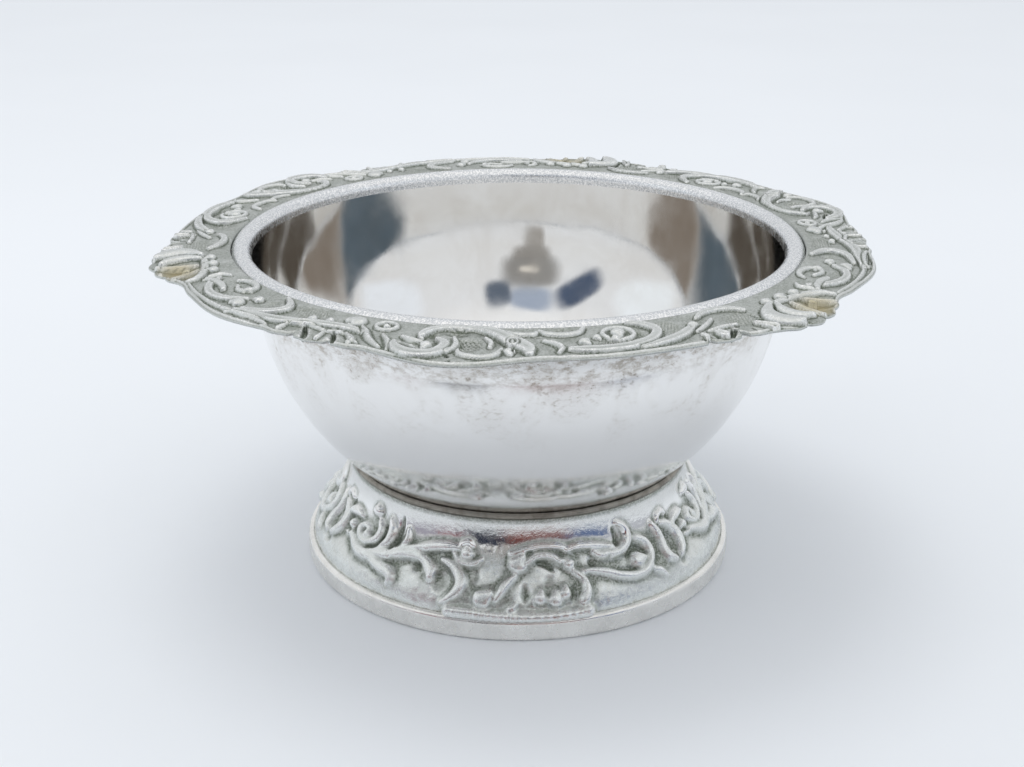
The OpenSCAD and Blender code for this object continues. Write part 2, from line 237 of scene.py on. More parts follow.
def curve(points):
    """A smooth run through points of the tables, as shares."""
    p = shares(points)
    p = np.vstack([2 * p[0] - p[1], p, 2 * p[-1] - p[-2]])
    t = np.linspace(0, 1, CURVE_STEPS, endpoint=False)[:, None]
    runs = [
        (2 * b + (c - a) * t + (2 * a - 5 * b + 4 * c - d) * t**2
         + (3 * b - a - 3 * c + d) * t**3) / 2
        for a, b, c, d in zip(p, p[1:], p[2:], p[3:])
    ]
    return np.vstack([*runs, p[-2:-1]])


class Relief:
    """A height field on one repeat of a surface of revolution.

    azimuth and y are arrays of one shape: degrees, and millimetres across the surface;
    radius_at gives the radius at a y. The ornament's methods take thousandths: places are u
    along the repeat and v across the surface, and widths and radii are parts of scale_w times
    broad. Heights, depths and cells are in millimetres and headings in degrees. rise is the
    height of a stroke as wide as the share full_w; groove_d is the depth of the groove beside a
    stroke and wear the share that it takes off the strokes beneath.
    """

    def __init__(self, azimuth, y, radius_at, start, turn, scale_w, rise, full_w, broad,
                 groove_d, wear):
        self.azimuth, self.y, self.radius_at = azimuth, y, radius_at
        self.radius = radius_at(y)
        self.start, self.turn, self.scale_w = start, turn, scale_w
        self.rise, self.full_w = rise, full_w * scale_w
        self.broad, self.groove_d, self.wear = broad, groove_d, wear
        self.raised = np.zeros_like(y)
        self.groove = np.zeros_like(y)
        self.dished = np.zeros_like(y)
        self.warm = np.zeros_like(y)

    def _window(self, places, reach):
        """The rows and columns near a line of places."""
        low, high = places.min(0), places.max(0)
        wide = math.degrees(reach / self.radius.min())
        around = self.azimuth[0]
        columns = np.where((around > low[0] - wide) & (around < high[0] + wide))[0]
        near = (self.y > low[1] - reach) & (self.y < high[1] + reach)
        rows = np.where(near.any(1))[0]
        if not len(rows) or not len(columns):
            return None
        return slice(rows[0], rows[-1] + 1), slice(columns[0], columns[-1] + 1)

    def _line(self, window, places, widths):
        """Distance to a line of places and the line's width there, for the spots of a window."""
        azimuth, y, r = self.azimuth[window], self.y[window], self.radius[window]
        best = np.full(y.shape, 1e9)
        wide = np.zeros(y.shape)
        for i in range(len(places) - 1):
            px, py = np.radians(azimuth - places[i][0]) * r, y - places[i][1]
            sx = math.radians(places[i + 1][0] - places[i][0]) * r
            sy = places[i + 1][1] - places[i][1]
            t = np.clip((px * sx + py * sy) / (sx * sx + sy * sy + 1e-12), 0, 1)
            d = (px - t * sx) ** 2 + (py - t * sy) ** 2
            closer = d < best
            best = np.where(closer, d, best)
            wide = np.where(closer, mix(widths[i], widths[i + 1], t), wide)
        return np.sqrt(best), wide

    def _near(self, run, broad):
        """For each repeat of a run of (u, v, width): its window, distance and half width."""
        places = np.stack([self.start + self.turn * run[:, 0], run[:, 1] * self.scale_w], 1)
        widths = np.maximum(run[:, 2] * broad, NARROWEST) * self.scale_w
        for k in (-1, 0, 1):
            moved = places + np.array([k * self.turn, 0])
            window = self._window(moved, widths.max())
            if window is not None:
                d, wide = self._line(window, moved, widths)
                yield window, d, wide / 2

    def _lay(self, run, section, height):
        for window, d, half in self._near(run, self.broad):
            x = d / half
            rise = height or self.rise * np.clip(2 * half / self.full_w, *RISE_LIMITS) ** 0.5
            side = smooth(1 - np.abs((d - half) / GROOVE_W - GROOVE_OUT))
            beneath = self.raised[window] * (1 - self.wear * side)
            laid = np.where(x < 1, SECTIONS[section](x) * rise, 0)
            self.raised[window] = np.maximum(beneath, laid)
            self.groove[window] = np.maximum(self.groove[window], side)

    def trail(self, *points, section="round", height=None):
        """Lays a stroke through (u, v, width) points; a later stroke lies over an earlier one."""
        self._lay(curve(points), section, height)

    def band(self, *points):
        self.trail(*points, section="band")

    def ridge(self, *points):
        self.trail(*points, section="ridge")

    def flute(self, foot, tip, width, height=None):
        """A straight hollow stroke that widens to its tip."""
        self._lay(shares([(*foot, width / 2), (*tip, width)]), "hollow", height)

    def cut(self, depth, *points):
        """Sinks a hollow through (u, v, width) points and whatever is raised there."""
        for window, d, half in self._near(curve(points), 1.0):
            hollow = smooth(CUT_SIDE * (1 - d / half))
            self.dished[window] = np.maximum(self.dished[window], hollow * depth)
            self.raised[window] *= 1 - CUT_SHARE * hollow

    def _share(self, v, along):
        """A distance along the surface, given as a share of scale_w, as a share of the repeat."""
        radius = float(self.radius_at(v * self.scale_w))
        return along * self.scale_w / (math.radians(self.turn) * radius)

    def _bud(self, u, v, heading, radius, height=None):
        a = math.radians(heading)
        tail = (u + self._share(v, BUD_TAIL * radius * math.cos(a)),
                v + BUD_TAIL * radius * math.sin(a), radius)
        self._lay(np.array([(u, v, 2 * radius), tail]), "round", height)

    def bud(self, u, v, heading, radius):
        """A round bud with a smaller tail."""
        u, v, radius = shares((u, v, radius))
        self._bud(u, v, heading, radius)

    def ring(self, u, v, along, across, width, height=None):
        u, v, along, across, width = shares((u, v, along, across, width))
        a = np.linspace(0, 2 * np.pi, RING_STEPS)
        around = [u + self._share(v, along) * np.cos(a), v + across * np.sin(a), width + 0 * a]
        self._lay(np.stack(around, 1), "round", height)

    @staticmethod
    def _spaced(points, count):
        """Places at even steps along a run through (u, v) points."""
        run = curve([(*p, 0) for p in points])
        for at in np.linspace(0, len(run) - 1, count):
            yield [np.interp(at, np.arange(len(run)), run[:, i]) for i in (0, 1)]

    def beads(self, points, count, radius, height):
        """Round beads in a row."""
        for u, v in self._spaced(points, count):
            self._bud(u, v, 0, shares(radius), height)

    def ribs(self, points, count, reach, width, height):
        """Short ribs across a bar."""
        reach, width = shares((reach, width))
        for u, v in self._spaced(points, count):
            self._lay(np.array([(u, v - reach, width), (u, v + reach, width)]), "round", height)

    def _blob(self, *oval):
        """1 in the middle of an oval (u, v, along, across), 0 at its side, for each repeat."""
        u, v, along, across = shares(oval)
        total = np.zeros_like(self.y)
        for k in (-1, 0, 1):
            x = np.radians(self.azimuth - self.start - self.turn * (u + k)) * self.radius
            x = x / (along * self.scale_w)
            y = (self.y - v * self.scale_w) / (across * self.scale_w)
            total = np.maximum(total, smooth(DISH_SIDE * (1 - np.sqrt(x * x + y * y))))
        return total

    def dish(self, u, v, along, across, depth, warm=0.0):
        """Sinks an oval hollow into the ground."""
        patch = self._blob(u, v, along, across)
        self.dished = np.maximum(self.dished, patch * depth)
        self.warm = np.maximum(self.warm, patch * warm)

    def net(self, u, v, along, across, cell, depth):
        """Scales or punched dots on an oval patch of the ground."""
        patch = np.clip(NET_SIDE * self._blob(u, v, along, across), 0, 1)
        x = np.radians(self.azimuth) * self.radius.mean() / cell
        y = self.y / cell * NET_ROW
        row = np.floor(y)
        sx = (x + 0.5 * (row % 2)) % 1 - 0.5
        sy = y - row - 0.5
        scale = smooth(1 - np.sqrt(sx**2 + sy**2) / NET_DOT)
        self.dished = np.maximum(self.dished, patch * depth * (1 - scale))

    def height(self):
        """Height of the ornament above the plain surface; raised work covers what was sunk."""
        covered = COVER_SHARE * smooth(self.raised / COVER_H)
        return self.raised - (self.groove * self.groove_d + self.dished) * (1 - covered)


def cast_ground(azimuth, y, radius, layers):
    """Unevenness of a cast ground, from layers of (cell, seed, depth)."""
    return sum(lattice_noise(azimuth, y, cell, radius, seed) * depth
               for cell, seed, depth in layers)


def roughened(height, ground):
    """A height with the unevenness of the ground, of which raised work keeps less."""
    return height + ground * (1 - WORN_SHARE * smooth(height / WORN_H))


def ground_tone(height, share, top, fall):
    """Patina of the ground: none above the height top, and its full share a fall below."""
    return share * smooth((top - height) / fall)


def recess_and_crest(height, recess_d, power, crest_h):
    """How far each spot lies below and above the relief around it, each from 0 to 1."""
    soft = blur(height, *TONE_REACH)
    return (np.clip((soft - height) / recess_d, 0, 1) ** power,
            np.clip((height - soft) / crest_h, 0, 1))


# ---- Meshes ----


def make_object(name, vertices, faces, smooth_shading=True):
    """An object from vertices in millimetres and faces, linked to the scene."""
    mesh = bpy.data.meshes.new(name)
    mesh.from_pydata((np.asarray(vertices) * MM).tolist(), [], [list(f) for f in faces])
    mesh.validate()
    mesh.update()
    mesh.shade_smooth() if smooth_shading else mesh.shade_flat()
    obj = bpy.data.objects.new(name, mesh)
    bpy.context.scene.collection.objects.link(obj)
    return obj


def ring_faces(rows, columns, close_rows=True, close_columns=True):
    """Quads of a grid of rows x columns, which may close round its section and the axis."""
    j = np.arange(columns if close_columns else columns - 1)
    i = np.arange(rows if close_rows else rows - 1)
    a = (i[:, None] * columns + j).ravel()
    b = (i[:, None] * columns + (j + 1) % columns).ravel()
    c = (((i[:, None] + 1) % rows) * columns + (j + 1) % columns).ravel()
    d = (((i[:, None] + 1) % rows) * columns + j).ravel()
    return np.stack([a, b, c, d], 1)


def turned(section, sides):
    """Vertices of a section of (radius, height) pairs turned round the axis, row by row."""
    section = np.asarray(section)
    a = np.linspace(0, 2 * np.pi, sides, endpoint=False)
    r, z = section[:, 0][:, None], section[:, 1][:, None]
    return np.stack([r * np.cos(a), r * np.sin(a), z + 0 * a], -1).reshape(-1, 3)


def arc(middle, radius, first, last, steps):
    a = np.radians(np.linspace(first, last, steps + 1))
    return np.stack([middle[0] + radius * np.cos(a), middle[1] + radius * np.sin(a)], 1)


def straight(a, b, steps):
    t = np.linspace(0, 1, steps + 1)[:, None]
    return mix(np.array(a, float), np.array(b, float), t)


# Points closer than this, in millimetres, are one
SAME_PLACE = 1e-4


def chain(*runs):
    """Joins runs of points, without the ones that repeat."""
    points = [runs[0][0]]
    for run in runs:
        for p in run:
            if np.hypot(*(np.array(p) - points[-1])) > SAME_PLACE:
                points.append(np.array(p))
    return np.array(points)


def set_attribute(obj, name, values):
    layer = obj.data.attributes.new(name, "FLOAT", "POINT")
    layer.data.foreach_set("value", np.ascontiguousarray(values, dtype=np.float32).ravel())


def paint(obj, rest, rest_recess, **fields):
    """Stores fields for the material; the rest of the vertices are plain."""
    for name, field in fields.items():
        plain = np.full(rest, rest_recess if name == "recess" else 0.0)
        set_attribute(obj, name, np.concatenate([field.ravel(), plain]))


def take_place(obj, node):
    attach(obj, "root")
    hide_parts(node)


# ---- Materials ----

# Colours that the materials vary between
MIRROR_COLOURS = (0.87, 0.865, 0.85), (0.82, 0.805, 0.78)
BEAD_COLOURS = (0.64, 0.66, 0.68), (0.95, 0.95, 0.95)
SATIN_COLOURS = (0.93, 0.92, 0.885), (0.79, 0.78, 0.75)
WIRE_COLOURS = (0.34, 0.32, 0.28), (0.20, 0.185, 0.16)
# the crests' colour: silver worn bright, with painted highlights on it
CREST_WEAR_AND_HIGHLIGHT_COLOUR = (0.93, 0.935, 0.93)
# Heights between which the bowl's tarnish comes up, and its close flecks, in millimetres
TARNISH_Z, FLECKS_Z = (21, 33.5), (29.5, 33.5)


def set_stops(ramp, stops):
    """Gives a ramp its stops, each a place and a grey level or a colour."""
    elements = ramp.color_ramp.elements
    while len(elements) < len(stops):
        elements.new(0.5)
    for element, (place, colour) in zip(elements, stops):
        element.position = place
        element.color = (*np.broadcast_to(colour, 3), 1)


class Finish:
    """A material and short ways to add its nodes."""

    def __init__(self, name):
        self.material = bpy.data.materials.new(name)
        self.material.use_nodes = True
        self.tree = self.material.node_tree
        self.tree.nodes.clear()
        self.output = self.node("ShaderNodeOutputMaterial")
        self.place = self.node("ShaderNodeTexCoord").outputs["Object"]

    def node(self, kind, **settings):
        made = self.tree.nodes.new(kind)
        for key, value in settings.items():
            setattr(made, key, value)
        return made

    def link(self, source, target):
        self.tree.links.new(source, target)

    def feed(self, target, value):
        """Sets a socket to a number or colour, or links it."""
        if isinstance(value, bpy.types.NodeSocket):
            self.link(value, target)
        elif isinstance(value, (int, float)):
            target.default_value = value
        else:
            target.default_value = (*value, 1.0)

    def noise(self, grain, detail=3.0, roughness=0.55, stretch=(1, 1, 1), distortion=0.0):
        """Noise with a grain in millimetres."""
        mapping = self.node("ShaderNodeMapping")
        mapping.inputs["Scale"].default_value = stretch
        self.link(self.place, mapping.inputs["Vector"])
        noise = self.node("ShaderNodeTexNoise")
        noise.inputs["Scale"].default_value = 1 / (grain * MM)
        noise.inputs["Detail"].default_value = detail
        noise.inputs["Roughness"].default_value = roughness
        noise.inputs["Distortion"].default_value = distortion
        self.link(mapping.outputs["Vector"], noise.inputs["Vector"])
        return noise.outputs["Fac"]

    def ramp(self, value, *stops):
        """A grey ramp through (place, level) stops."""
        ramp = self.node("ShaderNodeValToRGB")
        set_stops(ramp, stops)
        self.link(value, ramp.inputs["Fac"])
        return ramp.outputs["Color"]

    def maths(self, operation, a, b=0.0, clamp=False):
        node = self.node("ShaderNodeMath", operation=operation, use_clamp=clamp)
        self.feed(node.inputs[0], a)
        self.feed(node.inputs[1], b)
        return node.outputs[0]

    def times(self, product, *values, clamp=False):
        for value in values:
            product = self.maths("MULTIPLY", product, value, clamp)
        return product

    def blend(self, share, a, b):
        node = self.node("ShaderNodeMix", data_type="RGBA")
        self.feed(node.inputs[0], share)
        self.feed(node.inputs[6], a)
        self.feed(node.inputs[7], b)
        return node.outputs[2]

    def attribute(self, name):
        return self.node("ShaderNodeAttribute", attribute_name=name).outputs["Fac"]

    def rising(self, low, high, to_high=1.0):
        """0 up to one height above the table and to_high from another, in millimetres."""
        split = self.node("ShaderNodeSeparateXYZ")
        self.link(self.place, split.inputs[0])
        return self.spread(split.outputs["Z"], low * MM, high * MM, 0.0, to_high)

    def spread(self, value, low, high, to_low=0.0, to_high=1.0):
        node = self.node("ShaderNodeMapRange", interpolation_type="SMOOTHSTEP")
        limits = {"From Min": low, "From Max": high, "To Min": to_low, "To Max": to_high}
        for key, number in limits.items():
            node.inputs[key].default_value = number
        self.link(value, node.inputs["Value"])
        return node.outputs["Result"]

    def bump(self, height, depth, below=None):
        """A bump of a depth in millimetres."""
        node = self.node("ShaderNodeBump")
        node.inputs["Strength"].default_value = 1.0
        node.inputs["Distance"].default_value = depth * MM
        self.link(height, node.inputs["Height"])
        if below is not None:
            self.link(below, node.inputs["Normal"])
        return node.outputs["Normal"]

    def metal(self, colour, roughness, normal):
        shader = self.node("ShaderNodeBsdfPrincipled")
        shader.inputs["Metallic"].default_value = 1.0
        self.feed(shader.inputs["Base Color"], colour)
        self.feed(shader.inputs["Roughness"], roughness)
        self.link(normal, shader.inputs["Normal"])
        self.link(shader.outputs[0], self.output.inputs["Surface"])
        return self.material


def mirror_silver():
    """The polished inside of the bowl."""
    f = Finish("mirror_silver")
    film = f.ramp(f.noise(9, 4, 0.6, distortion=0.6), (0.42, 0), (0.62, 1))
    colour = f.blend(film, *MIRROR_COLOURS)
    scratches = f.noise(0.5, 3, 0.6, stretch=(1, 1, 0.06))
    roughness = f.spread(f.noise(4, 3), 0.3, 0.75, 0.045, 0.13)
    normal = f.bump(f.noise(7, 1), 0.05, f.bump(scratches, 0.0012))
    return f.metal(colour, roughness, normal)


def bead_silver():
    """The rounded lip, worn to a fine grain."""
    f = Finish("bead_silver")
    grain = f.noise(0.22, 2, 0.7)
    roughness = f.spread(f.noise(0.6, 3), 0.3, 0.7, 0.16, 0.34)
    normal = f.bump(grain, 0.035, f.bump(f.noise(1.6, 2), 0.03))
    colour = f.blend(f.ramp(grain, (0.44, 0), (0.6, 1)), *BEAD_COLOURS)
    return f.metal(colour, roughness, normal)


def outer_silver():
    """The bowl's outside: bright, with tarnish flecks gathered under the border."""
    colours = finish_colours()
    f = Finish("outer_silver")
    band = f.rising(*TARNISH_Z)
    patches = f.ramp(f.noise(5.5, 3, 0.6, distortion=0.8), (0.42, 0), (0.62, 1))
    flecks = f.ramp(f.noise(0.75, 4, 0.72, stretch=(1, 1, 1.5)), (0.52, 0), (0.66, 1))
    close = f.ramp(f.noise(1.5, 5, 0.75, stretch=(1, 1, 2)), (0.46, 0), (0.62, 1))
    near = f.times(f.rising(*FLECKS_Z, 0.8), close)
    share = f.maths("MAXIMUM", f.times(patches, flecks, band, 0.75), near)
    share = f.maths("ADD", share, f.times(patches, band, 0.22), clamp=True)
    colour = f.blend(share, colours.silver, colours.tarnish)
    roughness = f.maths("ADD", f.spread(f.noise(3, 4), 0.3, 0.75, 0.10, 0.2),
                        f.times(share, 0.25))
    normal = f.bump(f.noise(6, 2), 0.05, f.bump(f.noise(0.35, 3, 0.7), 0.004))
    return f.metal(colour, roughness, normal)


def cast_silver(name, crest_share, lift=1.0, warm=False, polished=False):
    """Cast ornament: worn bright on its crests, with painted highlights speckled over them, and
    patina in its recesses.

    crest_share is how bright the worn crests and their painted highlights are, and lift brightens
    the dull silver.
    """
    colours = finish_colours()
    f = Finish(name)
    recess = f.attribute("recess")
    crest = f.attribute("crest")
    stain = f.ramp(f.noise(3.2, 4, 0.65, distortion=0.5), (0.38, 0.25), (0.66, 1))
    grain = f.noise(0.16, 3, 0.7)
    speckle = f.spread(f.noise(0.2, 2, 0.75), 0.38, 0.62, 0.62, 1.25)
    share = f.maths("ADD", recess, f.times(stain, 0.14))
    share = f.times(share, speckle, clamp=True)
    colour = f.blend(share, tuple(lift * c for c in colours.worn), colours.patina)
    # painted highlights in speckles over the worn-bright crests
    highlight_speckle = f.spread(f.noise(0.3, 3, 0.8), 0.42, 0.62, 0.25, 1.3)
    bright = f.times(crest, crest_share, highlight_speckle, clamp=True)
    colour = f.blend(bright, colour, CREST_WEAR_AND_HIGHLIGHT_COLOUR)
    if warm:
        colour = f.blend(f.attribute("warm"), colour, colours.brass)
    roughness = f.maths("ADD", f.spread(f.noise(0.9, 3), 0.3, 0.75, 0.17, 0.3),
                        f.times(share, 0.3))
    if polished:
        polish = f.attribute("polish")
        colour = f.blend(polish, colour, colours.silver)
        roughness = f.times(roughness, f.spread(polish, 0.0, 1.0, 1.0, 0.45))
        grain = f.times(grain, f.spread(polish, 0.0, 1.0, 1.0, 0.1))
    normal = f.bump(grain, 0.028, f.bump(f.noise(0.7, 2), 0.03))
    return f.metal(colour, roughness, normal)


def satin_silver():
    """The plain base band, brushed by handling."""
    f = Finish("satin_silver")
    brushed = f.noise(0.5, 3, 0.6, stretch=(0.35, 0.35, 4))
    dulled = f.ramp(f.noise(4, 4, 0.6), (0.38, 0), (0.66, 1))
    colour = f.blend(dulled, *SATIN_COLOURS)
    roughness = f.spread(f.noise(1.4, 4), 0.3, 0.75, 0.2, 0.36)
    normal = f.bump(brushed, 0.008, f.bump(f.noise(2.4, 2), 0.03))
    return f.metal(colour, roughness, normal)


def wire_silver():
    """The wire in the joint, in a dark colour."""
    f = Finish("wire_silver")
    stain = f.ramp(f.noise(1.2, 3), (0.4, 0), (0.65, 1))
    colour = f.blend(stain, *WIRE_COLOURS)
    roughness = f.spread(f.noise(0.8, 3), 0.3, 0.7, 0.3, 0.45)
    return f.metal(colour, roughness, f.bump(f.noise(0.3, 2), 0.01))


# ---- Bowl ----

# Gap left for solder between pieces
GAP = 0.05
FLANGE_W = 3.0
FLANGE_T = 0.6
SEAT_DROP = 0.6
LIP_FLARE = 1.1
WALL_RISE = 0.65
# Where the outside leaves the sphere for its straight flare, in degrees below the widest circle
FLARE_FROM = 8.0
FLANGE_CORNER = 0.12
FLANGE_STEPS, CORNER_STEPS, SEAT_STEPS = 5, 3, 4
BOWL_SIDES = 288
OUTSIDE_STEPS, LIP_STEPS, INSIDE_STEPS = 76, 30, 96


def bowl_levels():
    """Height of the bowl's widest circle, of its flange's face and of its bead's middle."""
    bead_z = BOWL_TOP - sizes().bead_r / MM
    seat_z = bead_z - SEAT_DROP
    return seat_z - FLANGE_T - WALL_RISE, seat_z, bead_z


class SALT_CELLAR_OT_bowl(bpy.types.Operator):
    """Spin the bowl with its flange and rounded lip"""

    bl_idname = "salt_cellar.bowl"
    bl_label = "Bowl"

    def execute(self, context):
        size = sizes()
        r, wall, bead = size.bowl_r / MM, size.bowl_wall / MM, size.bead_r / MM
        widest_z, seat_z, bead_z = bowl_levels()
        bead_mid = (r + LIP_FLARE, bead_z)
        root = -math.degrees(math.asin(SEAT_DROP / bead))
        root_r = bead_mid[0] + bead * math.cos(math.radians(root))
        corner_r = FLANGE_R - FLANGE_CORNER
        low_z = widest_z + WALL_RISE
        a = math.radians(FLARE_FROM)
        flare_r = r * math.cos(a) + (WALL_RISE + r * math.sin(a)) * math.tan(a)
        outside = chain(
            arc((0, widest_z), r, -90, -FLARE_FROM, OUTSIDE_STEPS),
            straight((flare_r, low_z), (corner_r, low_z), FLANGE_STEPS),
            arc((corner_r, low_z + FLANGE_CORNER), FLANGE_CORNER, -90, 0, CORNER_STEPS),
            arc((corner_r, seat_z - FLANGE_CORNER), FLANGE_CORNER, 0, 90, CORNER_STEPS),
            straight((corner_r, seat_z), (root_r, seat_z), SEAT_STEPS),
        )
        lip = arc(bead_mid, bead, root, 180, LIP_STEPS)
        # the mirror-bright inside runs on without a crease from the lip to the bottom
        a = np.radians(np.linspace(0, -90, INSIDE_STEPS + 1))
        deep = bead_z - (widest_z - r + wall)
        inside = np.stack([lip[-1][0] * np.cos(a), bead_z + deep * np.sin(a)], 1)
        # the first and last points lie on the axis and become single vertices
        section = chain(outside, lip, inside)[1:-1]
        rows = len(section)
        vertices = turned(section, BOWL_SIDES)
        low, high = len(vertices), len(vertices) + 1
        vertices = np.vstack([vertices, [0, 0, widest_z - r], [0, 0, widest_z - r + wall]])
        faces = [tuple(f) for f in ring_faces(rows, BOWL_SIDES, close_rows=False)]
        j = np.arange(BOWL_SIDES)
        last = (rows - 1) * BOWL_SIDES
        faces += [(low, (i + 1) % BOWL_SIDES, i) for i in j]
        faces += [(high, last + i, last + (i + 1) % BOWL_SIDES) for i in j]
        obj = make_object("bowl_silver", vertices, faces)
        for material in (outer_silver(), bead_silver(), mirror_silver()):
            obj.data.materials.append(material)
        # the strips of faces that the lip and the inside begin at
        split_lip = len(outside) - 1
        split_in = split_lip + len(lip) - 1
        row_of = np.concatenate([np.repeat(np.arange(rows - 1), BOWL_SIDES),
                                 np.zeros(BOWL_SIDES, int), np.full(BOWL_SIDES, rows)])
        index = np.where(row_of < split_lip, 0, np.where(row_of < split_in, 1, 2)).astype(np.int32)
        obj.data.polygons.foreach_set("material_index", index)
        take_place(obj, "bowl")
        return {"FINISHED"}


# ---- Border ----

BORDER_T = 1.45
BORDER_EDGE_T = 0.4
BORDER_FALL = 0.4
BORDER_START = -177.0
BORDER_TURN = 120.0
BORDER_ROWS = 88
BORDER_COLUMNS = 960
# The pattern's own width as a share of the border's
PATTERN_SHARE = 1.076

# Lobes of the outline: middle and half width along the repeat, rise as a share of the width
BORDER_EDGE = 0.95
BORDER_LOBES = (
    (0.102, 0.105, 0.20), (0.196, 0.04, -0.05), (0.325, 0.1, 0.085), (0.646, 0.12, 0.255),
    (0.81, 0.12, 0.035),
    # tips of the shell's flutes and of the small flutes on the edge
    (0.068, 0.016, 0.035), (0.103, 0.018, 0.04), (0.138, 0.017, 0.035), (0.169, 0.014, 0.02),
    (0.42, 0.018, 0.03), (0.472, 0.02, 0.035), (0.523, 0.018, 0.025), (0.976, 0.018, 0.03),
    (0.02, 0.014, 0.02),
    # slots between them
    (0.0, 0.0075, -0.11), (0.446, 0.006, -0.075), (0.498, 0.006, -0.07), (0.952, 0.0065, -0.07),
    (0.086, 0.005, -0.03), (0.121, 0.005, -0.03), (0.154, 0.005, -0.03),
)
# Breaks of the rail along the outline: place and half length along the repeat
RAIL_BREAKS = ((0.11, 0.09), (0.472, 0.075), (0.975, 0.045))
# The rail's middle, half width and rise, and the groove behind it, in millimetres
RAIL_IN, RAIL_HALF_W, RAIL_RISE, RAIL_GROOVE_IN = 0.17, 0.15, 0.15, 0.42
EDGE_ROLL = 0.1
EDGE_ROLL_W = 0.35
# How far in the ornament dies away, at the outline and at the lip
EDGE_FADE, LIP_FADE = 0.12, 0.35
# Layers of the cast ground: cell, seed and depth
BORDER_GROUND_R = 36
BORDER_GROUND = ((0.34, 11, 0.018), (1.3, 12, 0.03))
# Depth of a full recess and its power, and height of a full crest
BORDER_TONE = (0.11, 0.8, 0.2)
# The ground's patina: its share, the height where it ends, and how far below that it is full
BORDER_DARK = (0.5, 0.11, 0.14)
# Patina of the edge and the underside
BORDER_REST = 0.15
# The thin edge below the face: distance out from the outline and share of the way down
EDGE_SECTION = ((0.05, 0.12), (0.07, 0.3), (0.08, 0.5), (0.07, 0.7), (0.03, 0.9), (-0.05, 1.0))
# Steps across the underside, from the edge to the flange
UNDER_SHARES = (0.12, 0.35, 0.65, 1.0)


class BorderShape:
    """Radii and heights of the border's plain body, in millimetres."""

    def __init__(self):
        size = sizes()
        seat_z = bowl_levels()[1]
        self.in_r = (size.bowl_r + size.bead_r) / MM + LIP_FLARE + GAP
        self.seat_r = self.in_r + FLANGE_W
        self.low_z = seat_z + GAP
        self.top_z = self.low_z + BORDER_T
        # the pattern's inner end would lie under the bead
        self.pattern_w = size.border_w / MM * PATTERN_SHARE
        self.pattern_in_r = self.in_r + size.border_w / MM - self.pattern_w

    def edge(self, u):
        """Radius of the outline at a place along the repeat."""
        total = np.full(np.shape(u), BORDER_EDGE)
        for k in (-1, 0, 1):
            for place, half, rise in BORDER_LOBES:
                total = total + rise * cosine_lobe((u - k - place) / half)
        return self.pattern_in_r + self.pattern_w * total

    def face(self, r):
        """Height of the plain face, which falls a little from its inner edge."""
        return self.top_z - BORDER_FALL * (r - self.pattern_in_r) / self.pattern_w


